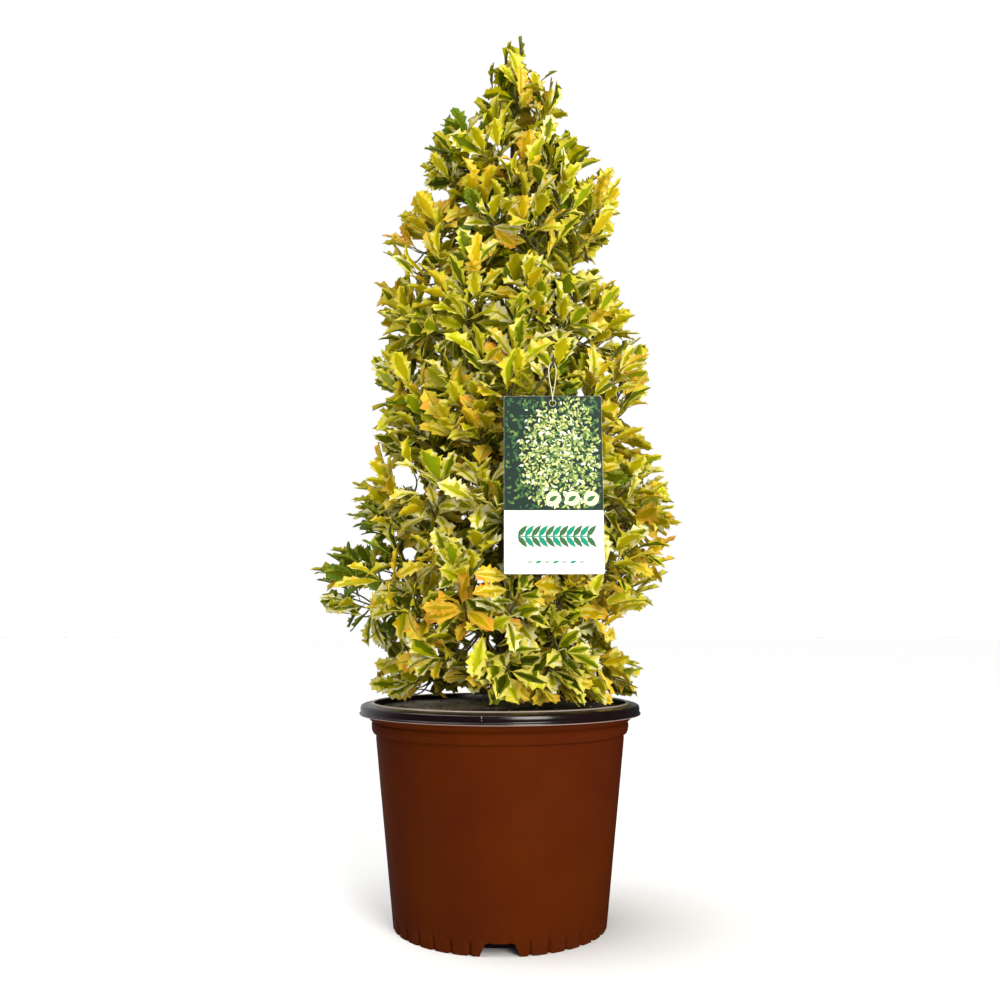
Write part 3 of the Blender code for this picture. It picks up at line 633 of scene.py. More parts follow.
def bark_material(name, dark, pale, patch):
    """Smooth young bark with fine ridges along the limb and pale pores."""
    material = new_material(name, dark, 0.8, specular=0.3)
    nodes = Nodes(material)
    ridge = nodes.noise(220.0, 7.0, 0.7, (1.0, 1.0, 0.22))
    base = nodes.mixed(nodes.spread(ridge, 0.38, 0.66), dark, pale)
    moss = nodes.spread(nodes.noise(26.0, 4.0), 0.50, 0.66, 0.0, 0.75)
    base = nodes.mixed(moss, base, patch)
    pores = nodes.spread(nodes.cells(420.0), 0.0, 0.26, 0.3, 0.0)
    nodes.colour(nodes.mixed(pores, base, (0.24, 0.20, 0.12)))
    nodes.roughness(nodes.spread(ridge, 0.3, 0.7, 0.66, 0.92))
    nodes.bump(ridge, 0.0005)
    return material


def card_material(name, colour):
    """Printed plastic card, with a faint grain in its gloss."""
    material = new_material(name, colour, CARD_ROUGHNESS, specular=0.06)
    nodes = Nodes(material)
    shade = tuple(channel * 0.93 for channel in colour)
    nodes.colour(nodes.mixed(nodes.spread(nodes.noise(60.0, 3.0), 0.35, 0.65), colour, shade))
    grain = nodes.noise(300.0, 3.0)
    nodes.roughness(nodes.spread(grain, 0.3, 0.7, CARD_ROUGHNESS, CARD_ROUGHNESS + 0.08))
    return material


def string_material():
    material = new_material("loop_string", (0.70, 0.70, 0.62), 0.55)
    nodes = Nodes(material)
    twist = nodes.noise(900.0, 2.0, 0.5, (1.0, 1.0, 0.5))
    nodes.colour(nodes.mixed(twist, (0.42, 0.40, 0.26), (0.64, 0.62, 0.46)))
    nodes.bump(twist, 0.0001)
    return material


def new_object(name, data):
    """An object, linked into the scene."""
    obj = bpy.data.objects.new(name, data)
    bpy.context.scene.collection.objects.link(obj)
    return obj


def object_of(shape, name, materials=()):
    """An object made of a bmesh, which is then freed."""
    mesh = bpy.data.meshes.new(name)
    shape.to_mesh(mesh)
    shape.free()
    for material in materials:
        mesh.materials.append(material)
    return new_object(name, mesh)


def evaluated_mesh(obj):
    """A new mesh of an object with its modifiers applied, or of a filled curve."""
    bpy.context.view_layer.update()
    graph = bpy.context.evaluated_depsgraph_get()
    return bpy.data.meshes.new_from_object(obj.evaluated_get(graph))


def add_piece(name, vertices, faces, materials, zones=None, parting=None):
    """A smooth mesh from arrays. The faces are arrays of equal-sided faces, zones give each face its
    material, and parting marks the faces on one side of the sharp edges with 1, the others with 0."""
    mesh = bpy.data.meshes.new(name)
    mesh.vertices.add(len(vertices))
    mesh.vertices.foreach_set("co", np.asarray(vertices, np.float32).ravel())
    sizes = np.concatenate([np.full(len(part), part.shape[1]) for part in faces])
    starts = np.concatenate([[0], np.cumsum(sizes)[:-1]])
    mesh.loops.add(int(sizes.sum()))
    mesh.loops.foreach_set("vertex_index", np.concatenate([part.ravel() for part in faces]))
    mesh.polygons.add(len(sizes))
    mesh.polygons.foreach_set("loop_start", starts)
    mesh.polygons.foreach_set("use_smooth", np.ones(len(sizes), bool))
    for material in materials:
        mesh.materials.append(material)
    if zones is not None:
        mesh.polygons.foreach_set("material_index", np.concatenate(zones))
    mesh.update(calc_edges=True)
    mesh.validate()
    if parting is not None:
        mark_parting(mesh, np.concatenate(parting), sizes)
    return new_object(name, mesh)


def mark_parting(mesh, sides, sizes):
    """Edges between faces of two sides become sharp."""
    edge_of_loop = np.zeros(len(mesh.loops), np.int32)
    mesh.loops.foreach_get("edge_index", edge_of_loop)
    side_of_loop = np.repeat(sides, sizes)
    most = np.zeros(len(mesh.edges), np.int32)
    least = np.ones(len(mesh.edges), np.int32)
    np.maximum.at(most, edge_of_loop, side_of_loop)
    np.minimum.at(least, edge_of_loop, side_of_loop)
    sharp = mesh.attributes.new("sharp_edge", "BOOLEAN", "EDGE")
    sharp.data.foreach_set("value", most > least)


def clamped(value):
    return max(0.0, min(1.0, value))


def blended(table, key, column):
    """A column of a table, read between its rows at this key."""
    low = table[0]
    for high in table[1:]:
        if key <= high[0]:
            share = max(0.0, (key - low[0]) / (high[0] - low[0]))
            return low[column] + (high[column] - low[column]) * share
        low = high
    return low[column]


def rounded(profile):
    """A closed profile of (radius, height, fillet), with each corner eased by its fillet."""
    points = []
    for i, (radius, height, fillet) in enumerate(profile):
        corner = Vector((radius, height))
        before = Vector(profile[i - 1][:2]) - corner
        after = Vector(profile[(i + 1) % len(profile)][:2]) - corner
        if fillet == 0.0:
            points.append(corner)
            continue
        start = corner + before.normalized() * min(fillet, before.length * 0.45)
        end = corner + after.normalized() * min(fillet, after.length * 0.45)
        for k in range(5):
            share = k / 4
            points.append(start.lerp(corner, share).lerp(corner.lerp(end, share), share))
    return points


def revolved(name, points, steps, material, shift=None):
    """A closed profile turned round Z, with each vertex moved by shift(radius, height, turn)."""
    rows = len(points)
    vertices = []
    for k in range(steps):
        turn = 2 * math.pi * k / steps
        for radius, height in points:
            if shift:
                radius, height = shift(radius, height, turn)
            vertices.append((radius * math.cos(turn), radius * math.sin(turn), height))
    faces = []
    for k in range(steps):
        for i in range(rows):
            j = (i + 1) % rows
            after = (k + 1) % steps
            faces.append((k * rows + i, k * rows + j, after * rows + j, after * rows + i))
    return add_piece(name, vertices, [np.array(faces)], [material])


def pot_radius(height):
    return BASE_RADIUS + (BODY_TOP_RADIUS - BASE_RADIUS) * height / BODY_TOP


def in_flute(turn):
    """From 0 between the foot's flutes to 1 in the middle of one."""
    offset = abs(math.remainder(turn * FLUTES / (2 * math.pi) + 0.5, 1.0))
    share = max(0.0, 1 - offset / FLUTE_HALF_WIDTH)
    return share * share * (3 - 2 * share)


def flute_shift(radius, height, turn):
    """The foot's outer wall sinks into short flutes, whose lower ends are lifted."""
    wall = height < FOOT_HEIGHT and radius > BASE_RADIUS - FLUTE_WALL
    if not wall:
        return radius, height
    fade = min(1.0, (FOOT_HEIGHT - height) / FLUTE_FADE)
    depth = in_flute(turn) * fade
    lift = FLUTE_SCALLOP * in_flute(turn) * max(0.0, 1 - height / SCALLOP_TOP)
    return radius - FLUTE_DEPTH * depth, height + lift


def pot_body(material, inner_material):
    """The turned body, as (radius, height, fillet) from its floor up the inside and down the outside,
    with its drain notches cut."""
    band = BODY_TOP_RADIUS + BAND_OUT
    panel = PANEL_RADIUS - PANEL_WALL
    profile = [
        (AXIS_RADIUS, FLOOR, 0.0),
        (panel, FLOOR, 0.001),
        (panel + PANEL_DRAFT, FOOT_HEIGHT, 0.001),
        (pot_radius(FOOT_HEIGHT) - WALL, FOOT_HEIGHT, 0.001),
        (BODY_TOP_RADIUS - WALL, BODY_TOP + 0.001, 0.001),
        (band - WALL, BODY_TOP + 0.004, 0.001),
        (MOUTH_RADIUS, LIP_FOOT, 0.0004),
        (BODY_TOP_RADIUS + COLLAR_OUT, LIP_FOOT, 0.0005),
        (BODY_TOP_RADIUS + COLLAR_OUT, LIP_FOOT - 0.0012, 0.0005),
        (LEDGE_RADIUS + 0.0016, BAND_STEP + 0.0024, 0.0006),
        (LEDGE_RADIUS - 0.0012, BAND_STEP + 0.0008, 0.0003),
        (LEDGE_RADIUS + 0.0001, BAND_STEP - 0.0010, 0.0008),
        (LEDGE_RADIUS, BODY_TOP + 0.0074, 0.0020),
        (band + 0.0004, BODY_TOP + 0.0034, 0.0006),
        (BODY_TOP_RADIUS - 0.0006, BODY_TOP + 0.0020, 0.0003),
        (BODY_TOP_RADIUS - 0.0003, BODY_TOP - 0.0020, 0.0020),
    ]
    wall = [0.150, 0.100, 0.050, 0.022]
    wall += [FOOT_HEIGHT * (1 - i / FOOT_ROWS) + 0.0005 * (i == 0) for i in range(FOOT_ROWS)]
    profile += [(pot_radius(height), height, 0.0) for height in wall]
    profile += [
        (BASE_RADIUS, 0.0, 0.0005),
        (BASE_RADIUS - FOOT_RING, 0.0, 0.0008),
        (BASE_RADIUS - FOOT_RING - CHANNEL_DRAFT, CHANNEL_ROOF, 0.001),
        (PANEL_RADIUS + PANEL_DRAFT, CHANNEL_ROOF, 0.001),
        (PANEL_RADIUS, 0.0, 0.0006),
        (AXIS_RADIUS, 0.0, 0.0),
    ]
    obj = revolved("pot_body_moulded", rounded(profile), FLUTES * STEPS_A_FLUTE, material, flute_shift)
    for index in range(NOTCHES):
        cut_notch(obj, index)
    black_inner_wall_and_painted_shade_channel(obj.data, inner_material)
    add_tick(obj, LEDGE_RADIUS, BAND_STEP + 0.0030, MOULD_NIB_AZIMUTH, MOULD_NIB_SIZE)
    return obj


def add_tick(obj, radius, height, azimuth, size):
    """A small moulding mark that stands on a wall of the pot."""
    shape = bmesh.new()
    shape.from_mesh(obj.data)
    place = Matrix.Rotation(azimuth, 4, "Z") @ Matrix.Translation((radius, 0.0, height))
    made = bmesh.ops.create_cube(shape, size=1.0, matrix=place @ Matrix.Diagonal((*size, 1.0)))
    slot = len(obj.data.materials)
    for face in {face for vertex in made["verts"] for face in vertex.link_faces}:
        face.material_index = slot
    shape.to_mesh(obj.data)
    shape.free()
    obj.data.materials.append(new_material(f"{obj.name}_mark", (0.17, 0.12, 0.105), 0.5))


def cut_notch(obj, index):
    """A drain notch through the foot: a trapezoid prism that runs out along the radius."""
    shape = bmesh.new()
    bmesh.ops.create_cube(shape, size=1.0)
    for vertex in shape.verts:
        low = vertex.co.z < 0
        vertex.co.x *= NOTCH_FOOT_WIDTH if low else NOTCH_TOP_WIDTH
        vertex.co.y = NOTCH_MIDDLE + vertex.co.y * NOTCH_DEPTH
        vertex.co.z = -NOTCH_UNDER if low else NOTCH_HEIGHT
    cutter = object_of(shape, "notch")
    cutter.rotation_euler.z = index * 2 * math.pi / NOTCHES
    cut = obj.modifiers.new("notch", "BOOLEAN")
    cut.operation = "DIFFERENCE"
    cut.object = cutter
    made = evaluated_mesh(obj)
    obj.modifiers.clear()
    obj.data = made
    bpy.data.objects.remove(cutter)
    made.set_sharp_from_angle(angle=POT_CREASE)


def black_inner_wall_and_painted_shade_channel(mesh, material):
    """The faces of the pot's inner wall take the lip's black plastic, which the pot has inside. The faces
    of the channel round its base take it too, as painted shade: there the pot is brown and lies in shadow.
    """
    mesh.materials.append(material)
    for face in mesh.polygons:
        inwards = face.normal.x * face.center.x + face.normal.y * face.center.y < 0
        radius = math.hypot(face.center.x, face.center.y)
        # The channel's faces are made dark as painted shade.
        channel = PANEL_RADIUS - 0.001 < radius < BASE_RADIUS - FOOT_RING - 0.0005
        if inwards and face.center.z > FOOT_HEIGHT or channel and face.center.z < FOOT_HEIGHT:
            face.material_index = 1


def pot_lip(material):
    """The rolled lip: an upturned channel with a small bead along its lower edge."""
    seat = LIP_FOOT + GAP
    top = POT_HEIGHT
    profile = [
        (MOUTH_RADIUS, seat, 0.0003),
        (MOUTH_RADIUS, top - 0.0003, 0.0010),
        (MOUTH_RADIUS + 0.0026, top, 0.0010),
        (MOUTH_RADIUS + 0.0040, top - 0.0018, 0.0010),
        (LIP_RADIUS - 0.0052, top - 0.0018, 0.0012),
        (LIP_RADIUS - 0.0016, top - 0.0030, 0.0030),
        (LIP_RADIUS - 0.0008, top - 0.0062, 0.0020),
        (LIP_RADIUS - 0.0014, top - 0.0094, 0.0010),
        (LIP_RADIUS, top - 0.0102, 0.0008),
        (LIP_RADIUS, LIP_FOOT, 0.0008),
        (LIP_RADIUS - LIP_SKIN, LIP_FOOT, 0.0006),
        (LIP_RADIUS - 0.0040, top - 0.0055, 0.0010),
        (MOUTH_RADIUS + LIP_EASE, top - 0.0055, 0.0010),
        (MOUTH_RADIUS + LIP_SKIN, seat, 0.0004),
    ]
    obj = revolved("pot_lip_rolled", rounded(profile), LIP_STEPS, material)
    obj.data.set_sharp_from_angle(angle=LIP_CREASE)
    add_tick(obj, LIP_RADIUS - 0.0014, top - 0.0056, MOULD_TICK_AZIMUTH, MOULD_TICK_SIZE)
    return obj


def mix_height(x, y):
    """The potting mix's surface: mounded a little, lumpy, and sunk along the rim at the front."""
    radius = math.hypot(x, y)
    inwards = MOUTH_RADIUS - radius
    mound = (MIX_TOP - MIX_EDGE) * clamped(inwards / (MOUTH_RADIUS - MIX_MOUND_RADIUS))
    lumps = noise.noise(Vector((x * 38, y * 38, 0.0))) * 0.8
    grit = noise.noise(Vector((x * 160, y * 160, 3.0))) * 0.35
    brink = max(0.0, 1 - inwards / MIX_TROUGH_WIDTH)
    front = clamped(0.35 - y / max(radius, 0.001))
    trough = MIX_TROUGH * min(1.0, MIX_TROUGH_SLOPE * brink) * front
    return MIX_EDGE + mound - MIX_SINK + MIX_RELIEF * (lumps + grit) - trough


def potting_mix(material):
    """A lumpy disc of mix that fills the pot, with a plug of mix under it."""
    rings, steps = 56, 200
    edge = MOUTH_RADIUS - GAP - 0.0002
    turns = [2 * math.pi * k / steps for k in range(steps)]
    vertices = [(0.0, 0.0, mix_height(0.0, 0.0))]
    for i in range(1, rings + 1):
        for turn in turns:
            x, y = edge * i / rings * math.cos(turn), edge * i / rings * math.sin(turn)
            vertices.append((x, y, mix_height(x, y)))
    base = len(vertices)
    radius = pot_radius(MIX_PLUG_FOOT) - WALL - GAP
    vertices += [(radius * math.cos(t), radius * math.sin(t), MIX_PLUG_FOOT) for t in turns]
    vertices.append((0.0, 0.0, MIX_PLUG_FOOT))
    triangles = [(0, 1 + k, 1 + (k + 1) % steps) for k in range(steps)]
    triangles += [(len(vertices) - 1, base + (k + 1) % steps, base + k) for k in range(steps)]
    quads = []
    for i in range(rings):
        inner = 1 + i * steps
        outer = inner + steps
        for k in range(steps):
            after = (k + 1) % steps
            quads.append((inner + k, outer + k, outer + after, inner + after))
    return add_piece("potting_mix_surface", vertices, [np.array(triangles), np.array(quads)], [material])


def bark_chips(materials):
    """Flakes of bark and a few white grains, bedded in the mix."""
    rng = random.Random(SEED + 1)
    shape = bmesh.new()
    for _ in range(CHIPS):
        radius = max(CHIP_FREE_RADIUS, CHIP_EDGE * math.sqrt(rng.random()))
        turn = rng.uniform(0, 2 * math.pi)
        x, y = radius * math.cos(turn), radius * math.sin(turn)
        white = rng.random() < GRAIN_SHARE
        size = rng.uniform(*GRAIN_SIZES) if white else rng.uniform(*CHIP_SIZES)
        flat = 0.8 if white else rng.uniform(0.14, 0.3)
        wide = 0.9 if white else rng.uniform(0.35, 0.7)
        scale = Matrix.Diagonal((size, size * wide, size * flat, 1.0))
        tilt = Matrix.Rotation(rng.uniform(-CHIP_TILT, CHIP_TILT), 4, "X")
        tilt = tilt @ Matrix.Rotation(rng.uniform(-CHIP_TILT, CHIP_TILT), 4, "Y")
        place = Matrix.Translation((x, y, mix_height(x, y) + size * flat * 0.35))
        matrix = place @ Matrix.Rotation(rng.uniform(0, 6.28), 4, "Z") @ tilt @ scale
        made = bmesh.ops.create_icosphere(shape, subdivisions=1, radius=0.6, matrix=matrix)
        shade = 2 if white else rng.choice((0, 0, 1))
        for vertex in made["verts"]:
            vertex.co += Vector([rng.uniform(-0.12, 0.12) * size for _ in range(3)]) * min(1.0, flat * 3)
            for face in vertex.link_faces:
                face.material_index = shade
    return object_of(shape, "bark_chips", materials)


def crown_line(height):
    """The straight, leaning line that the crown's masses are laid out round. It starts on the pot's
    axis, a little below the top of the mix."""
    share = (height - LINE_FOOT) / (TRUNK_TIP - LINE_FOOT)
    return Vector((TRUNK_LEAN * share, 0.0, height))


def trunk_knots():
    """The trunk's (centre, radius) from its flat foot to its tip: it flares, tapers and sways."""
    heights = [MIX_TOP + GAP + FLARE_HEIGHT * share for share in FLARE_KNOTS]
    rest = TRUNK_POINTS - len(heights)
    rise = (TRUNK_TIP - heights[-1]) / rest
    heights += [heights[-1] + rise * (i + 1) for i in range(rest)]
    knots = []
    for height in heights:
        share = (height - LINE_FOOT) / (TRUNK_TIP - LINE_FOOT)
        sway = TRUNK_SWAY * math.sin(math.pi * share)
        taper = TRUNK_RADIUS + (TRUNK_TIP_RADIUS - TRUNK_RADIUS) * share
        flare = max(0.0, 1 - (height - MIX_TOP) / FLARE_HEIGHT)
        sideways = Vector((sway * math.sin(9 * share), sway * math.cos(7 * share), 0.0))
        radius = taper + (FLARE_RADIUS - TRUNK_RADIUS) * flare**2
        knots.append((crown_line(height) + sideways, radius))
    knots[0][0].xy = knots[1][0].xy
    return knots


def trunk_at(height):
    """The trunk's centre and radius at this height, between its knots."""
    knots = trunk_knots()
    i = 0
    while i < len(knots) - 2 and height > knots[i + 1][0].z:
        i += 1
    (low, wide), (high, narrow) = knots[i], knots[i + 1]
    share = (height - low.z) / (high.z - low.z)
    return low.lerp(high, share), wide + (narrow - wide) * share


def reach(azimuth, height):
    """How far the furthest leaf tips stand from the crown's line."""
    lean = crown_line(height).x
    left = blended(OUTLINE, height, 1) + lean
    right = blended(OUTLINE, height, 2) - lean
    side = (1 + math.cos(azimuth)) / 2
    return left + (right - left) * side


def outward(azimuth):
    return Vector((math.cos(azimuth), math.sin(azimuth), 0.0))


def drawn_in(azimuth, height):
    """The share of the reach that the outline's dips leave, at the sides of the crown."""
    share = 1.0
    for side, middle, left, half in DIPS:
        off = abs(height - middle) / half
        if off < 1 and side * math.cos(azimuth) > DIP_SIDE:
            share = min(share, left + (1 - left) * off * off)
    return share


def within_reach(point):
    """Whether a point keeps to the crown."""
    if not CROWN_FOOT < point.z < OUTLINE[-1][0]:
        return False
    offset = point - crown_line(point.z)
    azimuth = math.atan2(offset.y, offset.x)
    bare, half_width, foot = BARE_SIDE
    if abs(math.remainder(azimuth - bare, 2 * math.pi)) < half_width and point.z < foot:
        return False
    limit = reach(azimuth, point.z) * drawn_in(azimuth, point.z) + REACH_SPARE
    return offset.x**2 + offset.y**2 < limit**2


def in_window(points):
    """Whether any of the points would close a gap, seen from the photo's side."""
    for x, y, z in points:
        share = CAMERA_DISTANCE / (CAMERA_DISTANCE + y)
        x, z = x * share, CAMERA_HEIGHT + (z - CAMERA_HEIGHT) * share
        for (wide, high), radius in WINDOWS:
            if math.hypot(x - wide, z - high) < radius + WINDOW_EDGE:
                return True
    return False


def target(low, high, azimuth, half_width, index):
    """Where the index-th shoot's furthest leaf tip lies in a mass: places spread evenly over the
    outside, as (azimuth, height, distance from the crown's line, share of the way up the mass)."""
    across = (0.5 + index * ACROSS_STEP) % 1.0
    up = (0.5 + index * UP_STEP) % 1.0
    azimuth += half_width * (2 * across - 1) * ACROSS_SHARE
    floor = CROWN_FOOT + SHOOT_FLOOR + SHOOT_FLOOR_RISE * up
    foot = low + (high - low) * (0.5 + UP_SHARE * (up - 0.5))
    height = floor
    for _ in range(REACH_ROUNDS):
        height = (height + max(floor, foot + CONE_SLOPE * reach(azimuth, height))) / 2
    return azimuth, height, reach(azimuth, height), up


def bough_route(low, high, azimuth, turn):
    """A bough's points: level where it leaves the trunk, then rising outwards."""
    foot = low + (high - low) * BOUGH_FOOT * (1 + turn)
    foot = max(foot, MIX_TOP + FLARE_HEIGHT + BOUGH_ROOM)
    tip_radius = BOUGH_REACH * reach(azimuth, foot + 0.05)
    trunk_point, trunk_radius = trunk_at(foot)
    start = trunk_radius + GAP
    points = []
    for step in range(BOUGH_POINTS):
        share = step / (BOUGH_POINTS - 1)
        height = foot + CONE_SLOPE * tip_radius * (0.25 * share + 0.75 * share**1.6)
        radius = start + (tip_radius - start) * share
        centre = crown_line(height)
        sideways = BOUGH_SWAY * math.sin(3.0 * share + turn * 6)
        if step == 0:
            centre = trunk_point
            sideways = 0.0
        points.append(centre + outward(azimuth + sideways) * radius)
    points[1].z = points[0].z + 0.0004
    return points


def along(path, share):
    """The point that lies this share of the way along a path."""
    place = share * (len(path) - 1)
    i = min(int(place), len(path) - 2)
    return path[i].lerp(path[i + 1], place - i)


def way_at(path, share):
    i = min(int(share * (len(path) - 1)), len(path) - 2)
    return (path[i + 1] - path[i]).normalized()


def tapered(count, start, end):
    """Radii that run evenly from one to the other."""
    return [start + (end - start) * i / (count - 1) for i in range(count)]


def bent(root, knee, end, count=TWIG_POINTS):
    """A smooth curve from a root to an end, drawn towards a knee."""
    shares = [i / (count - 1) for i in range(count)]
    return [root.lerp(knee, s).lerp(knee.lerp(end, s), s) for s in shares]


def smoothed(points, count):
    """A smooth curve through points, by Catmull and Rom's rule."""
    padded = [2 * points[0] - points[1], *points, 2 * points[-1] - points[-2]]
    curve = []
    for k in range(count):
        place = k / (count - 1) * (len(points) - 1)
        i = min(int(place), len(points) - 2)
        t = place - i
        a, b, c, d = padded[i:i + 4]
        curve.append(
            0.5 * (2 * b + (c - a) * t + (2 * a - 5 * b + 4 * c - d) * t * t
                   + (3 * b - a - 3 * c + d) * t**3)
        )
    return curve


class Tubes:
    """Limbs collected into one mesh."""

    def __init__(self):
        self.vertices, self.quads, self.caps = [], [], []

    def add(self, path, radii, sides, relief=None):
        """A closed tube along a path. relief(point) scales its radius."""
        first = len(self.vertices)
        frame_x = None
        for i, (point, radius) in enumerate(zip(path, radii)):
            ahead = path[min(i + 1, len(path) - 1)] - path[max(i - 1, 0)]
            ahead.normalize()
            if frame_x is None:
                frame_x = ahead.orthogonal().normalized()
            frame_x = (frame_x - ahead * frame_x.dot(ahead)).normalized()
            frame_y = ahead.cross(frame_x)
            for k in range(sides):
                turn = 2 * math.pi * k / sides
                spoke = frame_x * math.cos(turn) + frame_y * math.sin(turn)
                size = radius * (relief(point + spoke * radius) if relief else 1.0)
                self.vertices.append(point + spoke * size)
        for i in range(len(path) - 1):
            low, high = first + i * sides, first + (i + 1) * sides
            for k in range(sides):
                after = (k + 1) % sides
                self.quads.append((low + k, low + after, high + after, high + k))
        for row, flip in ((0, True), (len(path) - 1, False)):
            centre = len(self.vertices)
            self.vertices.append(path[row].copy())
            for k in range(sides):
                pair = (first + row * sides + k, first + row * sides + (k + 1) % sides)
                self.caps.append((centre, *(reversed(pair) if flip else pair)))

    def piece(self, name, material):
        faces = [np.array(self.quads), np.array(self.caps)]
        obj = add_piece(name, [tuple(vertex) for vertex in self.vertices], faces, [material])
        obj.data.set_sharp_from_angle(angle=BARK_CREASE)
        return obj


def bark_relief(point):
    """Shallow ridges along the limb, and slow lumps."""
    ridges = noise.noise(Vector((point.x * 420, point.y * 420, point.z * 60)))
    lumps = noise.noise(point * 70)
    return 1.0 + 0.055 * ridges + 0.07 * lumps


def trunk_piece(material, knot_heights):
    """The trunk with bark relief, a swelling at each bough and a flared foot in the mix."""
    tubes = Tubes()
    foot = trunk_knots()[0][0].z
    heights = [foot + (TRUNK_TIP - foot) * i / TRUNK_RINGS for i in range(TRUNK_RINGS + 1)]
    path, radii = [], []
    for height in heights:
        centre, radius = trunk_at(height)
        swell = sum(math.exp(-((height - knot) / KNOT_HALF_HEIGHT) ** 2) for knot in knot_heights)
        path.append(centre)
        radii.append(radius * (1 + KNOT_SWELL * min(1.5, swell)))
    path.insert(0, path[0] - Vector((0.0, 0.0, TRUNK_SUNK)))
    radii.insert(0, radii[0] * 1.06)
    tubes.add(path, radii, TRUNK_SIDES, bark_relief)
    return tubes.piece("trunk_bark", material)


class Crowd:
    """What is already in the crown, in cells, so that new leaves can keep clear of it."""

    def __init__(self):
        self.cells = defaultdict(list)

    def around(self, points):
        low = [math.floor(min(point[i] for point in points) / CELL) for i in range(3)]
        high = [math.floor(max(point[i] for point in points) / CELL) for i in range(3)]
        for x in range(low[0], high[0] + 1):
            for y in range(low[1], high[1] + 1):
                for z in range(low[2], high[2] + 1):
                    yield x, y, z

    def add(self, tree, points, owner=None):
        for cell in self.around(points):
            self.cells[cell].append((tree, owner))

    def crossed(self, tree, points, owner):
        seen = set()
        for cell in self.around(points):
            for other, other_owner in self.cells.get(cell, ()):
                if id(other) in seen or other_owner is not None and other_owner == owner:
                    continue
                seen.add(id(other))
                if tree.overlap(other):
                    return True
        return False

    def add_limb(self, path, radius, owner=None):
        """A limb as a three-sided tube, cut into short stretches."""
        for i in range(len(path) - 1):
            way = (path[i + 1] - path[i]).normalized()
            spoke = way.orthogonal().normalized() * radius * LIMB_ROOM
            corners = []
            for point in path[i:i + 2]:
                for k in range(3):
                    corners.append(point + Matrix.Rotation(k * THIRD_TURN, 3, way) @ spoke)
            faces = [(k, (k + 1) % 3, 3 + (k + 1) % 3, 3 + k) for k in range(3)]
            self.add(BVHTree.FromPolygons(corners, faces), corners, owner)


def leaf_rows(teeth, swapped):
    """The rows of points across a leaf: share of the length, the margin's scale on the left and on
    the right, and the tooth. Spines stand out between shallow bays in the outer two thirds."""
    rows = [(share, 1.0, 1.0, 0) for share in (0.0, 0.12, 0.26)]
    step = (LAST_TOOTH - FIRST_TOOTH) / teeth
    for tooth in range(teeth):
        bay, spine = 0.76, 1.18 - 0.03 * tooth
        first, second = (spine, bay) if swapped else (bay, spine)
        rows.append((FIRST_TOOTH + step * tooth, bay, first, tooth))
        rows.append((FIRST_TOOTH + step * (tooth + 0.62), spine, second, tooth))
    rows.append((0.93, 0.50, 0.50, teeth))
    return rows


def flat_leaf(rng, rows, width, fold, cup, wave, blotch):
    """The points of a leaf's upper side and of its underside, row by row, folded along the midrib."""
    upper, under = [], []
    for share, left, right, tooth in rows:
        half = width / 2 * max(0.045, math.sin(math.pi * share**1.22) ** 0.72)
        limit = blotch * rng.uniform(0.75, 1.2) * (1.0 if share < 0.72 else 0.6)
        limits = [min(0.86, limit * rng.uniform(0.8, 1.2)) for _ in range(2)]
        inner = [value * rng.uniform(0.35, 0.6) for value in limits]
        across = [-left, -limits[0], -inner[0], 0.0, inner[1], limits[1], right]
        line = []
        for column, u in enumerate(across):
            edge = column in (0, LEAF_COLUMNS - 1)
            x = u * half
            y = share + (0.030 if edge and abs(u) > 1.02 else 0.0)
            z = abs(x) * fold + cup * x * x * 4
            if edge and share > 0.25:
                z += wave * (1 if (tooth + column) % 2 else -1) * min(1.0, abs(u))
            if column == LEAF_MIDRIB:
                z -= MIDRIB_DEPTH
            line.append([x, y, z])
        upper += line
        under += [[line[j][0], line[j][1], line[j][2] - LEAF_THICKNESS] for j in UNDER_COLUMNS]
    return upper, under


def upper_zone(rng, column, share, blushes):
    """The zone of a face of the upper side, now and then swapped for its neighbour's."""
    zone = (RIM, BLOTCH, HEART, HEART, BLOTCH, RIM)[column]
    if zone != RIM and share > 0.80 and rng.random() < 0.6:
        zone = RIM
    elif zone == HEART and share < 0.12:
        zone = BLOTCH
    elif zone == RIM and rng.random() < 0.10:
        zone = BLOTCH
    elif zone == BLOTCH and rng.random() < 0.16:
        zone = HEART
    if zone == RIM and blushes and share > 0.4 and rng.random() < 0.45:
        zone = BLUSH
    return zone


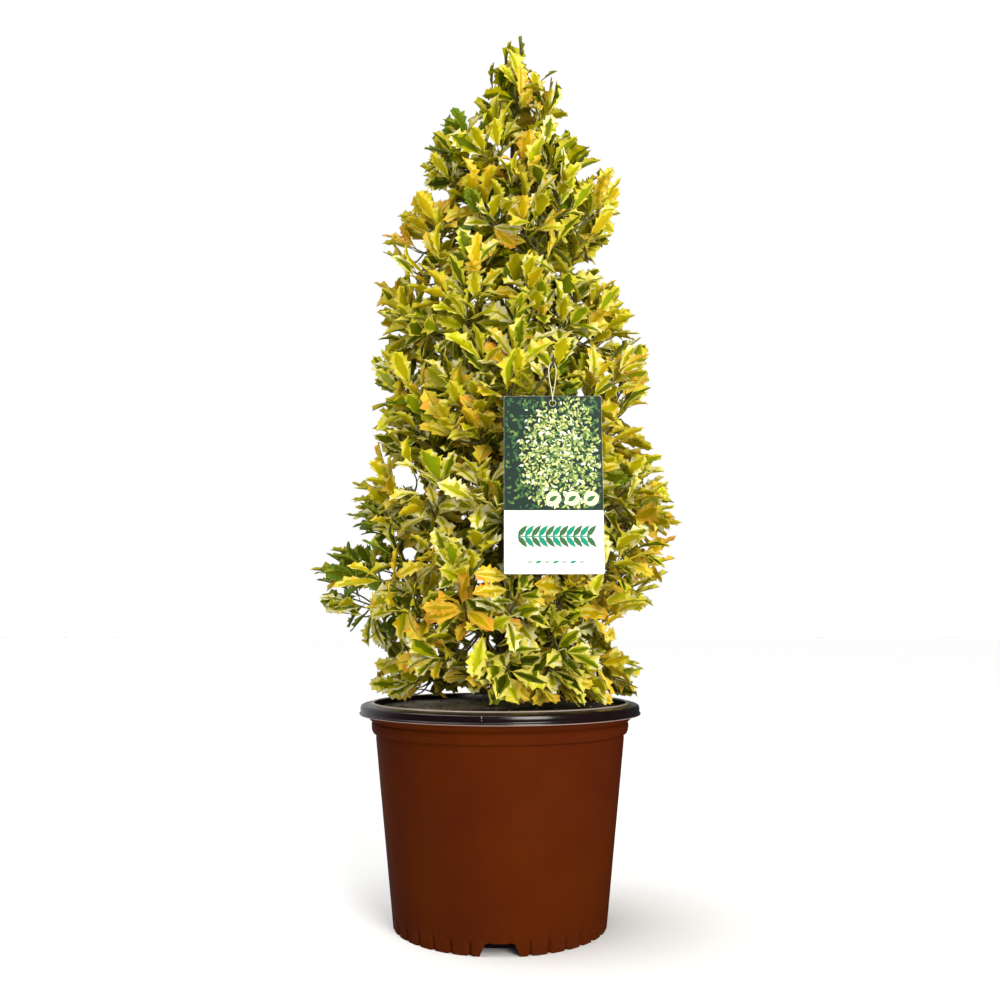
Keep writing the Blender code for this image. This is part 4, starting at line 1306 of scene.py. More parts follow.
class LeafFaces:
    """A leaf's faces, those of four sides and those of three apart, with their zones and sides."""

    def __init__(self):
        self.faces, self.zones, self.sides = ([], []), ([], []), ([], [])

    def add(self, face, zone, side):
        kind = 0 if len(face) == 4 else 1
        self.faces[kind].append(face)
        self.zones[kind].append(zone)
        self.sides[kind].append(side)

    def add_blade(self, rng, rows, low, tip, blushes):
        """The two sides, row by row to the tip, and the heel. The underside's points start at low."""
        for i, (share, *_) in enumerate(rows):
            last = i == len(rows) - 1
            row = i * LEAF_COLUMNS
            for j in range(LEAF_COLUMNS - 1):
                zone = upper_zone(rng, j, share, blushes)
                a, b = row + j, row + j + 1
                face = (a, b, tip) if last else (a, b, b + LEAF_COLUMNS, a + LEAF_COLUMNS)
                self.add(face, zone, UPPER_SIDE)
            lower = [row, low + i * 3, low + i * 3 + 1, low + i * 3 + 2, row + LEAF_COLUMNS - 1]
            upper = [place + step for place, step in zip(lower, (LEAF_COLUMNS, 3, 3, 3, LEAF_COLUMNS))]
            for j, zone in enumerate((UNDER_RIM, UNDER_HEART, UNDER_HEART, UNDER_RIM)):
                if last:
                    self.add((lower[j + 1], lower[j], tip), UNDER_RIM, UNDERSIDE)
                else:
                    self.add((lower[j + 1], lower[j], upper[j], upper[j + 1]), zone, UNDERSIDE)
        for j in range(LEAF_COLUMNS - 1):
            self.add((j + 1, j, low + 1), STALK, UNDERSIDE)
        self.add((0, low, low + 1), STALK, UNDERSIDE)
        self.add((low + 1, low + 2, LEAF_COLUMNS - 1), STALK, UNDERSIDE)

    def add_stalk(self, points):
        """A three-sided stalk from inside the twig into the blade. Gives the points with its own."""
        first = len(points)
        ring = []
        for y, size in ((-0.012, 0.016), (STALK_LENGTH * 0.6, 0.011), (STALK_LENGTH * 1.25, 0.010)):
            for k in range(3):
                angle = math.radians(-90 + 120 * k)
                ring.append((size * math.cos(angle), y, size * math.sin(angle) - MIDRIB_DEPTH))
        for i in range(2):
            for k in range(3):
                a, b = first + 3 * i + k, first + 3 * i + (k + 1) % 3
                self.add((a, b, b + 3, a + 3), STALK, UNDERSIDE)
        self.add((first, first + 2, first + 1), STALK, UNDERSIDE)
        self.add((first + 6, first + 7, first + 8), STALK, UNDERSIDE)
        return np.vstack([points, np.array(ring)])


def curved_leaf(points, twist, sweep, arch):
    """The blade twisted, swept to one side and arched, and shortened to leave room for its stalk."""
    x, y, z = points.T.copy()
    turn = twist * y
    points[:, 0] = x * np.cos(turn) - z * np.sin(turn) + sweep * y * y
    points[:, 1] = y * (1 - 0.5 * abs(arch) * y)
    points[:, 2] = x * np.sin(turn) + z * np.cos(turn) - arch * y * y
    points *= 1 - STALK_LENGTH
    points[:, 1] += STALK_LENGTH
    return points


def leaf_variant(rng):
    """A leaf of unit length with its stalk: X across, Y to its tip, Z out of its upper face. Its
    proxy, corners and places are the few points by which it keeps clear of what is round it."""
    teeth = rng.choice((2, 3, 3, 4))
    width = rng.uniform(0.40, 0.50)
    arch, cup = rng.uniform(0.02, 0.34), rng.uniform(0.0, 0.10)
    fold, wave = rng.uniform(0.15, 0.48), rng.uniform(0.020, 0.050)
    twist, sweep = rng.uniform(-0.35, 0.35), rng.uniform(-0.07, 0.07)
    blotch = rng.choice((0.30, 0.45, 0.55, 0.62, 0.72))
    blushes = rng.random() < 0.4
    rows = leaf_rows(teeth, rng.random() < 0.6)
    upper, under = flat_leaf(rng, rows, width, fold, cup, wave, blotch)
    tip = len(upper) + len(under)
    faces = LeafFaces()
    faces.add_blade(rng, rows, len(upper), tip, blushes)
    points = curved_leaf(np.array([*upper, *under, [0.0, 1.0, 0.0]]), twist, sweep, arch)
    points = faces.add_stalk(points)

    near, far = 2 * LEAF_COLUMNS, (len(rows) // 2 + 1) * LEAF_COLUMNS
    edge = LEAF_COLUMNS - 1
    corners = [near, near + edge, far, far + edge, tip]
    proxy = points[[LEAF_COLUMNS + LEAF_MIDRIB, *corners]]
    middle = proxy.mean(axis=0)
    places = [i * LEAF_COLUMNS + j for i in range(1, len(rows)) for j in (0, LEAF_MIDRIB, edge)]
    return {
        "points": points,
        "faces": [np.array(part) for part in faces.faces],
        "zones": [np.array(part) for part in faces.zones],
        "sides": [np.array(part) for part in faces.sides],
        "proxy": middle + (proxy - middle) * PROXY_SHARE,
        "corners": points[corners],
        "places": points[[*places, tip]],
    }


class Leaves:
    """Leaves collected into one mesh."""

    def __init__(self, variants, colours):
        self.variants, self.colours = variants, colours
        self.chosen = []

    def add(self, index, matrix, palette):
        self.chosen.append((index, np.array(matrix), palette))

    def piece(self, name, materials):
        points, faces, zones, sides = [], ([], []), ([], []), ([], [])
        first = 0
        for index, matrix, palette in self.chosen:
            leaf = self.variants[index]
            points.append(leaf["points"] @ matrix[:3, :3].T + matrix[:3, 3])
            slots = np.array([self.colours.index(colour) for colour in PALETTES[palette]])
            for kind in (0, 1):
                faces[kind].append(leaf["faces"][kind] + first)
                zones[kind].append(slots[leaf["zones"][kind]])
                sides[kind].append(leaf["sides"][kind])
            first += len(leaf["points"])
        return add_piece(
            name, np.vstack(points), [np.vstack(part) for part in faces], materials,
            [np.concatenate(part) for part in zones], [np.concatenate(part) for part in sides],
        )


class Mass:
    """One mass of foliage: its stem, its shoots and their leaves, grown by the source's rule."""

    def __init__(self, node, crowd, tubes, variants, seed):
        self.node, self.crowd, self.tubes, self.variants = node, crowd, tubes, variants
        self.leaves = Leaves(variants, list(LEAF_COLOURS))
        self.random = random.Random(seed)
        self.fine = random.Random(seed + 5000)
        self.paths, self.shoots = [], []

    def shoot(self, rng, rise, azimuth, height, radius, up):
        """Where a shoot ends and the way it points, so that its end leaf's tip meets its target."""
        stray = rng.uniform(-RISE_STRAY, RISE_STRAY)
        slope = math.radians(rise + RISE_SPREAD * (up - 0.5) + stray)
        turn = azimuth + rng.uniform(-TURN_STRAY, TURN_STRAY)
        way = outward(turn) * math.cos(slope) + Vector((0, 0, math.sin(slope)))
        meets = crown_line(height) + outward(azimuth) * radius
        return meets - way * LEAF_LENGTH, way

    def grow(self, start, heading, targets, inner, rise, tag_twig):
        """The stem bends once, from the bough's heading towards the middle of its shoots' ends. The
        source's shoots leave it in turn, and the finer ones leave whichever limb lies nearest."""
        shoots = [self.shoot(self.random, rise, *place) for place in targets]
        middle = sum((end for end, way in shoots), Vector()) / len(shoots)
        hub = start.lerp(middle, HUB_REACH)
        stem = bent(start, start + heading * (hub - start).length * KNEE, hub, STEM_POINTS)
        self.add_limb(stem, STEM_RADIUS, STEM_TIP_RADIUS, STEM_SIDES)
        if tag_twig:
            end, way = tag_twig_end()
            root = along(stem, TAG_TWIG_ROOT)
            path = bent(root, end - way * 2 * TAG_TWIG_END, end - way * TAG_TWIG_END)
            path.append(end)
            self.add_limb(path, TWIG_RADIUS, TWIG_RADIUS * 0.9, STEM_SIDES)
        shoots.sort(key=lambda shoot: (shoot[0] - start).length)
        for order, (end, way) in enumerate(shoots):
            share = FIRST_TWIG + TWIGS_SHARE * order / (len(shoots) - 1)
            self.add_shoot(along(stem, share), end, way, TWIG_RADIUS)
        for place in inner:
            end, way = self.shoot(self.fine, rise, *place)
            self.add_shoot(self.nearest_root(end, way), end, way, SHOOT_RADIUS)

    def nearest_root(self, end, way):
        """The place on the mass's limbs from which a shoot reaches its end with the least bend."""
        best, best_cost = None, None
        for path in self.paths:
            for share in ROOT_SHARES:
                root = along(path, share)
                line = end - root
                if line.length < LEAST_SHOOT:
                    continue
                cost = line.length * (BEND_COST - line.normalized().dot(way))
                if best is None or cost < best_cost:
                    best, best_cost = root, cost
        return best

    def add_limb(self, path, radius, tip_radius, sides, owner=None):
        self.tubes.add(path, tapered(len(path), radius, tip_radius), sides)
        self.crowd.add_limb(path, radius, owner)
        self.paths.append(path)

    def add_shoot(self, root, end, way, radius):
        """A shoot, if it keeps to the crown and clear of the tag. Its own leaves may touch it."""
        length = (end - root).length
        path = bent(root, end - way * length * KNEE, end)
        if not all(within_reach(point) and clear_of_tag(point) for point in path[2:]):
            return
        owner = (id(self), len(self.shoots))
        self.add_limb(path, radius, SHOOT_TIP_RADIUS, SHOOT_SIDES, owner)
        self.shoots.append((path, owner, palette_for(end, self.fine)))

    def add_leaves(self, first, last):
        """The leaves of each shoot, from its end down. The end leaves come first in every mass,
        because they make the crown's outline."""
        for path, owner, palette in self.shoots:
            length = (path[-1] - path[0]).length
            turn = self.fine.uniform(0, 2 * math.pi)
            back = 0.0
            for k in range(LEAVES_A_SHOOT):
                turn += GOLDEN_ANGLE + self.fine.uniform(-LEAF_TURN_STRAY, LEAF_TURN_STRAY)
                back += END_LEAVES[k] if k < len(END_LEAVES) else self.fine.uniform(*LEAF_GAPS)
                share = 1.0 - back / length
                if first <= k < last and share > LOWEST_LEAF:
                    self.add_leaf(path, owner, palette, share, k, turn)

    def add_leaf(self, path, owner, palette, share, k, turn):
        """A shoot's k-th leaf from its end, if a try fits. Each try is shorter and leans out less."""
        if self.fine.random() < STRAY_LEAF:
            palette = dealt_palette(self.fine)
        way, root = way_at(path, share), along(path, share)
        light = root - crown_line(root.z)
        light.z = LIGHT_RISE * light.length
        light.normalize()
        across = way.orthogonal().normalized()
        across.rotate(Matrix.Rotation(turn, 3, way))
        droop = SPREAD_DROOP if k > 2 else 0.0
        droop += LOW_DROOP * max(0.0, LOW_DROOP_TOP - root.z) / (LOW_DROOP_TOP - CROWN_FOOT)
        facing = way + light * LIGHT_PULL if k else Vector((0.0, 0.0, 1.0)) + light
        for attempt in range(LEAF_TRIES):
            size = LEAF_LENGTH * self.fine.uniform(*LEAF_SIZES) * (1 - TRY_SHORTER * attempt)
            lean = math.radians(LEAF_SPREADS[k]) * (1 - TRY_CLOSER * attempt)
            tip = way * math.cos(lean) + across * math.sin(lean)
            tip.z -= droop
            tip.normalize()
            normal = facing - tip * facing.dot(tip)
            side = tip.cross(normal).normalized()
            normal = side.cross(tip)
            twist = Matrix.Rotation(self.fine.uniform(-LEAF_TWIST, LEAF_TWIST), 3, tip)
            side.rotate(twist)
            normal.rotate(twist)
            index = self.fine.randrange(LEAF_VARIANTS)
            matrix = Matrix((side * size, tip * size, normal * size)).transposed().to_4x4()
            matrix.translation = root
            if self.claims_room(self.variants[index], matrix, owner):
                self.leaves.add(index, matrix, palette)
                return

    def claims_room(self, leaf, matrix, owner):
        """Whether a leaf keeps to the crown, leaves its gaps open and crosses nothing that is there.
        If so, it joins what is there."""
        corners = [matrix @ Vector(point) for point in leaf["corners"]]
        if not all(within_reach(point) and clear_of_tag(point) for point in corners):
            return False
        if in_window(matrix @ Vector(point) for point in leaf["places"]):
            return False
        proxy = [matrix @ Vector(point) for point in leaf["proxy"]]
        tree = BVHTree.FromPolygons(proxy, PROXY_FACES)
        if self.crowd.crossed(tree, proxy, owner):
            return False
        self.crowd.add(tree, proxy)
        return True


def dealt_palette(rng):
    return rng.choices(list(PALETTE_WEIGHTS), PALETTE_WEIGHTS.values())[0]


def palette_for(end, rng):
    """A spray's palette: the "shade" palette deep inside, greener and darker as painted shade, or by its
    place on the crown, or else dealt by weight.
    """
    offset = end - crown_line(end.z)
    depth = math.hypot(offset.x, offset.y) / reach(math.atan2(offset.y, offset.x), end.z)
    if depth < SHADE_DEPTH and rng.random() < SHADE_SHARE:
        return "shade"
    for (x, z), radius, palette, share in PLACES:
        if math.hypot(end.x - x, end.z - z) < radius and rng.random() < share:
            return palette
    return dealt_palette(rng)


def tag_frame():
    """The tag's own frame: X along its width, Y up its face, Z out of its front."""
    matrix = Matrix.Rotation(math.pi / 2 - TAG_LEAN, 4, "X")
    matrix.translation = TAG_TOP
    return matrix


INTO_TAG = tag_frame().inverted()


def loop_route(points):
    """The loop's points. It runs through the tag's hole from front to back, and twists a quarter
    turn on its way up so that it passes over a twig from left to right."""
    hole = tag_frame() @ Vector((0.0, -TAG_HOLE_DROP, 0.0))
    lowest = hole + Vector((0.0, 0.0, TAG_HOLE_RADIUS - LOOP_RADIUS - 2 * GAP))
    route = []
    for i in range(points):
        angle = 2 * math.pi * i / points
        up = (1 + math.cos(angle)) / 2
        wide = LOOP_HALF_WIDTH * math.sin(angle)
        route.append(lowest + Vector((wide * up, wide * (1 - up), up * LOOP_HEIGHT)))
    return route


def tag_twig_end():
    """The end of the twig that the loop hangs on, and the way it points."""
    top = loop_route(LOOP_POINTS)[0]
    way = (outward(TAG_TWIG_AZIMUTH) + Vector((0, 0, TAG_TWIG_CLIMB))).normalized()
    under = top - Vector((0.0, 0.0, LOOP_RADIUS + TWIG_UNDER_LOOP))
    return under + way * TAG_TWIG_END, way


def clear_of_tag(point):
    """Whether a point leaves free the tag, all that is in front of it, and its loop."""
    x, y, z = INTO_TAG @ point
    below_top = -TAG_HEIGHT - TAG_ROOM < y < TAG_ROOM
    if abs(x) < TAG_WIDTH / 2 + TAG_ROOM and below_top and z > -TAG_ROOM:
        return False
    return not (abs(x) < LOOP_ROOM and 0 < y < LOOP_HEIGHT and -LOOP_ROOM < z)


def crown_obstacles():
    """The trunk, the tag and its loop, which leaves and shoots keep clear of."""
    crowd = Crowd()
    knots = trunk_knots()
    for (low, radius), (high, _) in zip(knots, knots[1:]):
        crowd.add_limb([low, high], radius)
    card = [Vector((x * TAG_WIDTH / 2, -y * TAG_HEIGHT, 0.0)) for x in (-1, 1) for y in (0, 1)]
    card = [tag_frame() @ point for point in card]
    crowd.add(BVHTree.FromPolygons(card, ((0, 1, 3), (0, 3, 2))), card)
    crowd.add_limb(loop_route(COARSE_LOOP_POINTS), LOOP_RADIUS)
    return crowd


class Crown:
    """Every bough, mass, twig and leaf."""

    def __init__(self):
        rng = random.Random(SEED)
        self.variants = [leaf_variant(rng) for _ in range(LEAF_VARIANTS)]
        self.crowd = crown_obstacles()
        self.boughs, self.masses, self.knot_heights = Tubes(), [], []
        self.tiers = {}
        for tier in TIERS:
            self.grow_tier(*tier)
        self.grow_top()
        for first, last in LEAF_ROUNDS:
            for mass in self.masses:
                mass.add_leaves(first, last)

    def add_mass(self, tier, node, seed):
        """A mass whose twigs join those of its tier."""
        tubes, nodes = self.tiers.setdefault(tier, (Tubes(), []))
        nodes.append(node)
        mass = Mass(node, self.crowd, tubes, self.variants, seed)
        self.masses.append(mass)
        return mass

    def grow_tier(self, tier, count, first, low, high, twigs, rise, shoots):
        half = math.pi / count
        for i in range(count):
            azimuth = math.radians(first + 360 * i / count)
            turn = (i * BOUGH_TURN) % 1.0
            mass = self.add_mass(tier, f"foliage_{tier}_{i + 1}", SEED + len(self.masses) + 1)
            if tier in BOUGH_TIERS:
                points = bough_route(low, high, azimuth, turn)
                self.add_bough(points, azimuth)
                mass.paths.append(points[1:])
                start, heading = points[-1], (points[-1] - points[-2]).normalized()
            else:
                foot = low + (high - low) * (0.2 + 0.3 * turn)
                centre, radius = trunk_at(foot)
                self.knot_heights.append(foot)
                start, heading = centre + outward(azimuth) * radius * 0.5, outward(azimuth)
            targets = [target(low, high, azimuth, half, k) for k in range(twigs)]
            inner = []
            for k in range(twigs, shoots):
                depth = 1.0 if k % 3 else INNER_DEPTHS[k // 3 % 2]
                inner.append(deeper(target(low, high, azimuth, half, k), depth))
            inner += tufts_of(tier, low, high, azimuth, half)
            mass.grow(start, heading, targets, inner, rise, (tier, i) == TAG_MASS)

    def add_bough(self, points, azimuth):
        """A bough from inside the trunk, with a swollen collar where it leaves it."""
        self.knot_heights.append(points[0].z)
        inside = points[0] - outward(azimuth) * trunk_at(points[0].z)[1] * BOUGH_SUNK
        radii = tapered(BOUGH_RINGS, BOUGH_RADIUS, BOUGH_TIP_RADIUS)
        radii = [radius + COLLAR_SWELL * math.exp(-k / COLLAR_FADE) for k, radius in enumerate(radii)]
        self.boughs.add(smoothed([inside, *points], BOUGH_RINGS), radii, BOUGH_SIDES, bark_relief)
        self.crowd.add_limb(points, BOUGH_RADIUS)

    def grow_top(self):
        """The mass on the trunk's own tip."""
        mass = self.add_mass("top", "foliage_top", SEED)
        tip = trunk_at(TRUNK_TIP)[0]
        mass.paths.append([trunk_at(TRUNK_TIP - 0.05)[0], tip])
        heading = Vector((0.0, 0.0, 1.0))
        targets = [top_target(k, TOP_TWIGS) for k in range(TOP_TWIGS)]
        inner = [top_target(k + 0.5, TOP_SHOOTS) for k in range(TOP_SHOOTS - TOP_TWIGS)]
        inner = [deeper(place, TOP_INNER_DEPTH) for place in inner]
        mass.grow(tip - heading * 0.002, heading, targets, inner, TOP_RISE, False)

    def pieces(self, bark, twig_bark, leaf_materials):
        """Each piece, with the nodes that it stands for and its slot."""
        yield self.boughs.piece("bough_bark", bark), bough_nodes(), "bark"
        yield trunk_piece(bark, self.knot_heights), ["trunk"], "bark"
        for mass in self.masses:
            name = mass.node.replace("foliage", "leaves")
            yield mass.leaves.piece(name, leaf_materials), [mass.node], "leaf"
        for tier, (tubes, nodes) in self.tiers.items():
            yield tubes.piece(f"twigs_{tier}", twig_bark), nodes, "bark"


def tufts_of(tier, low, high, azimuth, half_width):
    """The targets of the standing-out sprays that belong to a mass."""
    places = []
    for turn, height in TUFTS:
        turn = math.radians(turn)
        radius = reach(turn, height)
        foot = height - CONE_SLOPE * radius
        level = foot < high and (foot >= low or tier == TIERS[0][0])
        if level and abs(math.remainder(turn - azimuth, 2 * math.pi)) < half_width:
            up = clamped((foot - low) / (high - low))
            places.append((turn, height, radius, up))
    return places


def deeper(place, depth):
    """A target drawn in towards the crown's line, down the slope of its mass."""
    azimuth, height, radius, up = place
    return azimuth, height - CONE_SLOPE * radius * (1 - depth), radius * depth, up


def top_target(k, count):
    """The target of the top mass's k-th shoot, on a spiral down from the tip."""
    height = OUTLINE[-1][0] - TOP_DEPTH * (k / count) ** 0.8
    azimuth = k * GOLDEN_ANGLE
    return azimuth, height, reach(azimuth, height), 1 - k / count


def bough_nodes():
    return [f"bough_{tier[0]}_{i + 1}" for tier in TIERS if tier[0] in BOUGH_TIERS for i in range(tier[1])]


class Inks:
    """The print on the tag, as thin patches that stand a hair above its face."""

    def __init__(self):
        self.shape = bmesh.new()

    def corners(self, points, rise):
        """New corners, this far above the card's face."""
        height = TAG_THICKNESS / 2 + rise
        return [self.shape.verts.new(tag_frame() @ Vector((x, y, height))) for x, y in points]

    def add(self, points, ink, layer):
        """A convex patch. A higher layer stands above those below it."""
        tops = self.corners(points, INK_RISE * (layer + 1))
        feet = self.corners(points, -INK_RISE)
        faces = [self.shape.faces.new(tops), self.shape.faces.new(list(reversed(feet)))]
        for i in range(len(points)):
            j = (i + 1) % len(points)
            faces.append(self.shape.faces.new((feet[i], feet[j], tops[j], tops[i])))
        for face in faces:
            face.material_index = INK_NAMES.index(ink)

    def leaf(self, x, y, length, width, turn, ink, layer):
        """A small pointed leaf."""
        points = []
        for share, side in ((0, 0), (0.3, 0.9), (0.62, 0.8), (1, 0), (0.62, -0.8), (0.3, -0.9)):
            along_leaf, off = length * share, width / 2 * side
            points.append((
                x + along_leaf * math.cos(turn) + off * math.sin(turn),
                y + along_leaf * math.sin(turn) - off * math.cos(turn),
            ))
        self.add(points[::-1], ink, layer)

    def disc(self, x, y, radius, ink, layer):
        turns = [2 * math.pi * k / 28 for k in range(28)]
        self.add([(x + radius * math.cos(t), y + radius * math.sin(t)) for t in turns], ink, layer)

    def ring(self, x, y, inner, outer, ink, layer):
        """A patch between a round hole and the square round it."""
        steps = 32
        for k in range(steps):
            turns = [2 * math.pi * (k + i) / steps for i in (0, 1)]
            near = [(x + inner * math.cos(t), y + inner * math.sin(t)) for t in turns]
            grow = [outer / max(abs(math.cos(t)), abs(math.sin(t))) for t in turns]
            far = [(x + g * math.cos(t), y + g * math.sin(t)) for g, t in zip(grow, turns)]
            self.add([near[0], far[0], far[1], near[1]], ink, layer)

    def bar(self, left, right, low, high, ink, layer):
        self.add([(left, low), (right, low), (right, high), (left, high)], ink, layer)


def tag_outline():
    """The card's edge with eased corners, and its punched hole, as points across and up its face."""
    edge = []
    for (x, y), start in zip(((1, 0), (-1, 0), (-1, -1), (1, -1)), (0, 90, 180, 270)):
        middle_x = x * (TAG_WIDTH / 2 - TAG_CORNER)
        middle_y = y * TAG_HEIGHT + (TAG_CORNER if y else -TAG_CORNER)
        for k in range(5):
            turn = math.radians(start + 22.5 * k)
            edge.append((middle_x + TAG_CORNER * math.cos(turn), middle_y + TAG_CORNER * math.sin(turn)))
    turns = [2 * math.pi * k / 32 for k in range(32)]
    hole = [(TAG_HOLE_RADIUS * math.cos(t), TAG_HOLE_RADIUS * math.sin(t) - TAG_HOLE_DROP) for t in turns]
    return edge, hole


def tag_card(material):
    """The card: a flat plate that fills its outline."""
    curve = bpy.data.curves.new("tag_card", "CURVE")
    curve.dimensions = "2D"
    curve.fill_mode = "BOTH"
    curve.extrude = TAG_THICKNESS / 2
    for points in tag_outline():
        spline = curve.splines.new("POLY")
        spline.points.add(len(points) - 1)
        spline.use_cyclic_u = True
        for place, (x, y) in zip(spline.points, points):
            place.co = (x, y, 0.0, 1.0)
    source = new_object("tag_outline", curve)
    mesh = evaluated_mesh(source)
    bpy.data.objects.remove(source)
    mesh.transform(tag_frame())
    mesh.materials.clear()
    mesh.materials.append(material)
    return new_object("tag_card", mesh)


def in_bush(x, y, panel_foot):
    """From 1 in the middle of the printed bush to 0 at its ragged edge and beyond."""
    across, up = BUSH_MIDDLE
    ragged = 0.16 * noise.noise(Vector((x * 160, y * 160, 5.0)))
    off = math.hypot((x - across) / BUSH_SIZE[0], (y - up * panel_foot) / BUSH_SIZE[1]) + ragged
    return clamped(1.25 - off)


def print_panel(inks, half, panel_foot):
    """The dark panel, left open round the tag's hole."""
    hole = TAG_HOLE_RADIUS + HOLE_ROOM
    hole_y = -TAG_HOLE_DROP
    top = -TAG_BORDER
    for side in (-1, 1):
        points = [
            (side * hole, hole_y - hole), (side * half, hole_y - hole), (side * half, top - TAG_CORNER),
            (side * (half - TAG_CORNER), top), (side * hole, top),
        ]
        inks.add(points[::side], "forest", 0)
    inks.bar(-hole, hole, hole_y + hole, top, "forest", 0)
    inks.bar(-half, half, panel_foot, hole_y - hole, "forest", 0)
    inks.ring(0.0, hole_y, TAG_HOLE_RADIUS + 0.0003, hole, "forest", 0)


def print_bush(inks, half, panel_foot):
    """Small leaves over the panel: many and light in the bush, and a few dark ones round it."""
    rng = random.Random(SEED + 7)
    room = TAG_HOLE_RADIUS + HOLE_ROOM + 0.0012
    right, low, high = half - PRINT_EDGE, panel_foot + PRINT_EDGE, -TAG_BORDER - PRINT_EDGE
    placed = 0
    while placed < TAG_LEAVES:
        x = rng.uniform(-half + 0.001, half - 0.001)
        y = rng.uniform(panel_foot + 0.001, -0.001)
        share = in_bush(x, y, panel_foot)
        if rng.random() > 0.16 + 0.84 * share:
            continue
        turn = rng.uniform(0, 2 * math.pi)
        length = rng.uniform(*PRINT_LEAF_LENGTHS)
        tip = (x + length * math.cos(turn), y + length * math.sin(turn))
        inside = abs(tip[0]) < right and low < tip[1] < high
        near_hole = min(math.hypot(px, py + TAG_HOLE_DROP) for px, py in ((x, y), tip)) < room
        if not inside or near_hole:
            continue
        weights = (3, 4, 5, 4, 2) if share > 0.25 else (6, 2, 0, 0, 0)
        ink = rng.choices(("green", "leaf", "pale", "yellow", "white"), weights)[0]
        inks.leaf(x, y, length, length * 0.46, turn, ink, 1 + placed % 7)
        placed += 1


def print_foot(inks, half, panel_foot):
    """On the white foot of the tag, a sprig of paired leaves and a row of leaves between thin rules."""
    foot = -TAG_HEIGHT
    for y in (panel_foot - 0.0060, foot + 0.0165, foot + 0.0052):
        inks.bar(-half + RULE_INSET, half - RULE_INSET, y, y + RULE_WIDTH, "grey", 0)
    middle = foot + SPRIG_RISE
    inks.bar(-0.031, 0.031, middle - 0.0005, middle + 0.0005, "teal", 0)
    for k in range(SPRIG_PAIRS):
        x = -0.0315 + SPRIG_STEP * k
        ink = "teal" if k % 2 else "green"
        for side in (1, -1):
            turn = math.radians(50 * side)
            inks.leaf(x, middle, 0.0130, 0.0050, turn, ink, 1 + (k + (side > 0)) % 2)
    for k in range(ROW_LEAVES):
        x = -0.0240 + ROW_STEP * k
        ink = "teal" if k % 2 else "grey"
        inks.leaf(x, foot + ROW_RISE, 0.0062, 0.0024, math.radians(18), ink, 0)


def tag_print(materials):
    """A generic print: a dark panel with a bush of small leaves, with three pale discs with a leaf in
    each at its foot, over a white foot with a sprig and a row of leaves."""
    inks = Inks()
    half = TAG_WIDTH / 2 - TAG_BORDER
    panel_foot = -TAG_HEIGHT * TAG_PANEL_SHARE
    print_panel(inks, half, panel_foot)
    print_bush(inks, half, panel_foot)
    for k in range(3):
        x, y = half - DISC_INSET - DISC_STEP * k, panel_foot + DISC_INSET
        inks.disc(x, y, DISC_RADIUS, "cream", 9)
        inks.leaf(x - 0.0040, y - 0.0026, 0.0094, 0.0046, math.radians(34), "green", 10)
    print_foot(inks, half, panel_foot)
    return object_of(inks.shape, "tag_print", materials)


def tag_loop(material):
    tubes = Tubes()
    route = loop_route(LOOP_POINTS)
    route.append(route[0].copy())
    tubes.add(route, [LOOP_RADIUS * 0.8] * len(route), 8)
    return tubes.piece("tag_loop_string", material)


def set_stage():
    """Plain pale floor, soft studio light, and the camera at the photo's place."""
    shape = bmesh.new()
    bmesh.ops.create_grid(shape, x_segments=1, y_segments=1, size=STAGE_SIZE)
    floor = object_of(shape, "floor", [new_material("floor_white", STAGE_COLOUR, 0.9, specular=0.1)])
    floor.visible_glossy = False
    floor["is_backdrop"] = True
    studio_world()

    sun = bpy.data.lights.new("key", "SUN")
    sun.energy = SUN_LEVEL
    sun.angle = SUN_ANGLE
    sun.color = SUN_COLOUR
    aim(sun, SUN_PLACE, SUN_AIM)
    panel = bpy.data.lights.new("softbox", "AREA")
    panel.shape = "RECTANGLE"
    panel.size, panel.size_y = PANEL_SIZE
    panel.energy = PANEL_LEVEL
    panel.color = PANEL_COLOUR
    aim(panel, PANEL_PLACE, PANEL_AIM)

    lens = bpy.data.cameras.new("camera")
    lens.lens = CAMERA_LENS
    lens.sensor_width = CAMERA_SENSOR
    camera = new_object("camera", lens)
    camera.location = (0.0, -CAMERA_DISTANCE, CAMERA_HEIGHT)
    camera.rotation_euler = (math.pi / 2 + CAMERA_PITCH, 0.0, 0.0)
    bpy.context.scene.camera = camera
    bpy.context.scene.view_settings.view_transform = "Standard"


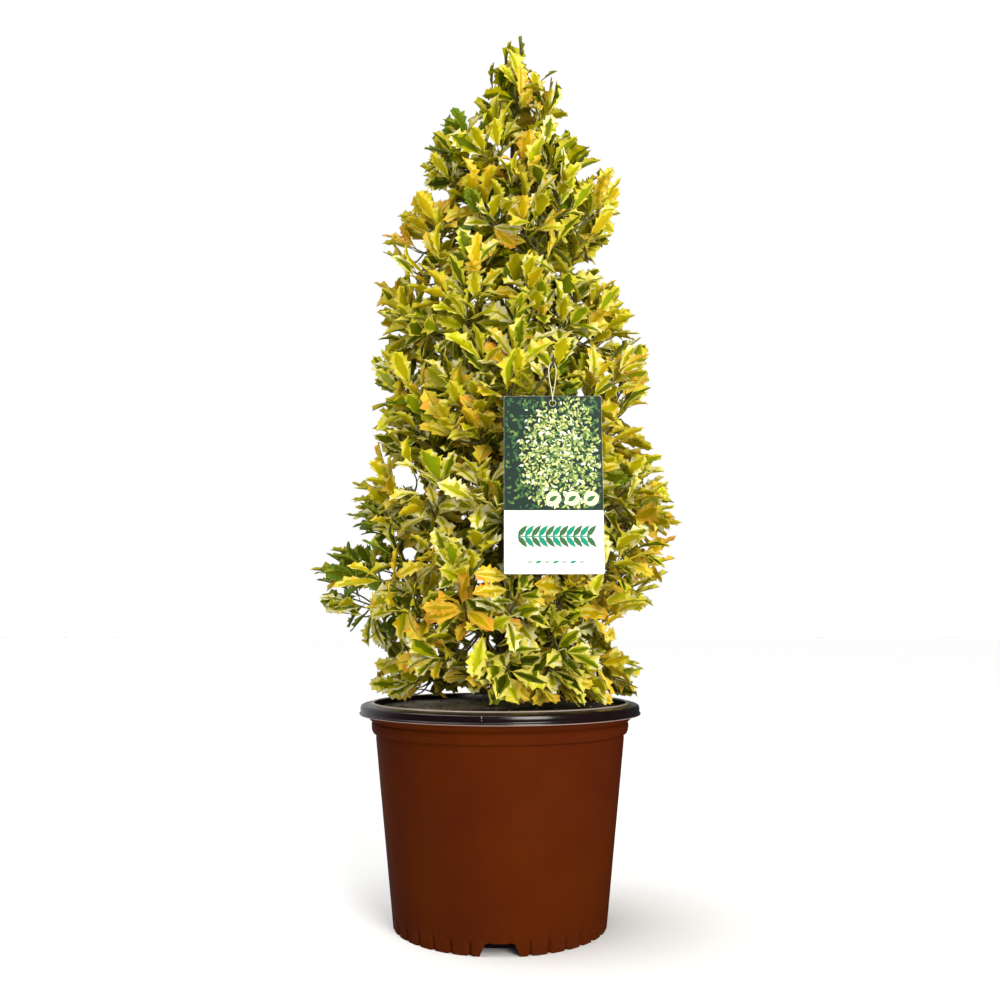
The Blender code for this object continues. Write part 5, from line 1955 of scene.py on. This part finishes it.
def studio_world():
    """Even light from the sky, which the camera sees as white, and glossy rays as the dark room with
    its pale backdrop."""
    world = bpy.data.worlds.new("studio")
    bpy.context.scene.world = world
    world.use_nodes = True
    tree = world.node_tree
    background = tree.nodes["Background"]
    background.inputs["Color"].default_value = (1.0, 1.0, 1.0, 1.0)
    rays = tree.nodes.new("ShaderNodeLightPath")
    facing = tree.nodes.new("ShaderNodeVectorMath")
    facing.operation = "DOT_PRODUCT"
    facing.inputs[1].default_value = BACKDROP_WAY
    tree.links.new(tree.nodes.new("ShaderNodeTexCoord").outputs["Generated"], facing.inputs[0])
    in_gloss = tree.nodes.new("ShaderNodeMapRange")
    in_gloss.inputs["From Min"].default_value = BACKDROP_EDGE
    in_gloss.inputs["To Min"].default_value = ROOM_IN_GLOSS
    in_gloss.inputs["To Max"].default_value = BACKDROP_IN_GLOSS
    tree.links.new(facing.outputs["Value"], in_gloss.inputs["Value"])
    diffuse = tree.nodes.new("ShaderNodeMix")
    diffuse.inputs["A"].default_value = SKY_LEVEL
    tree.links.new(rays.outputs["Is Glossy Ray"], diffuse.inputs["Factor"])
    tree.links.new(in_gloss.outputs["Result"], diffuse.inputs["B"])
    seen = tree.nodes.new("ShaderNodeMix")
    seen.inputs["B"].default_value = 1.0
    tree.links.new(rays.outputs["Is Camera Ray"], seen.inputs["Factor"])
    tree.links.new(diffuse.outputs["Result"], seen.inputs["A"])
    tree.links.new(seen.outputs["Result"], background.inputs["Strength"])


def aim(light, place, at):
    obj = new_object(light.name, light)
    obj.location = place
    obj.rotation_euler = (at - place).to_track_quat("-Z", "Y").to_euler()


def dress(obj, nodes, slot):
    """The piece rides with the plant and stands for its nodes. The slot is not used."""
    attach(obj, "root")
    if nodes:
        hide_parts(*nodes)


def main():
    set_stage()
    black = lip_plastic()
    dress(pot_body(pot_plastic(), black), ["pot_body"], "pot")
    dress(pot_lip(black), ["pot_lip"], "lip")
    flake = mix_material("bark_flake", (0.060, 0.040, 0.026), (0.15, 0.115, 0.080), 150.0)
    grey = mix_material("grey_flake", (0.120, 0.100, 0.075), (0.26, 0.230, 0.175), 150.0)
    grain = mix_material("white_grain", (0.40, 0.38, 0.33), (0.56, 0.54, 0.48), 400.0)
    dress(potting_mix(crust_material()), ["potting_mix"], "mix")
    dress(bark_chips([flake, grey, grain]), [], "mix")
    bark = bark_material("bark", (0.045, 0.034, 0.016), (0.125, 0.100, 0.048), (0.070, 0.072, 0.022))
    twig = bark_material("twig_bark", (0.055, 0.052, 0.010), (0.15, 0.140, 0.030), (0.075, 0.042, 0.014))
    leaf = [
        new_material(f"leaf_{name}", colour, LEAF_ROUGHNESS, specular=LEAF_GLOSS)
        for name, colour in LEAF_COLOURS.items()
    ]
    for obj, nodes, slot in Crown().pieces(bark, twig, leaf):
        dress(obj, nodes, slot)
    inks = [card_material(f"ink_{name}", colour) for name, colour in INK_COLOURS.items()]
    dress(tag_card(card_material("card_white", CARD_COLOUR)), ["tag"], "tag_card")
    dress(tag_print(inks), [], "tag_card")
    dress(tag_loop(string_material()), ["tag_loop"], "loop")


main()
visual_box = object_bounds()
boxes = {"cad": cad_box, "visual": visual_box}
{name: [list(corner) for corner in box] for name, box in boxes.items()}
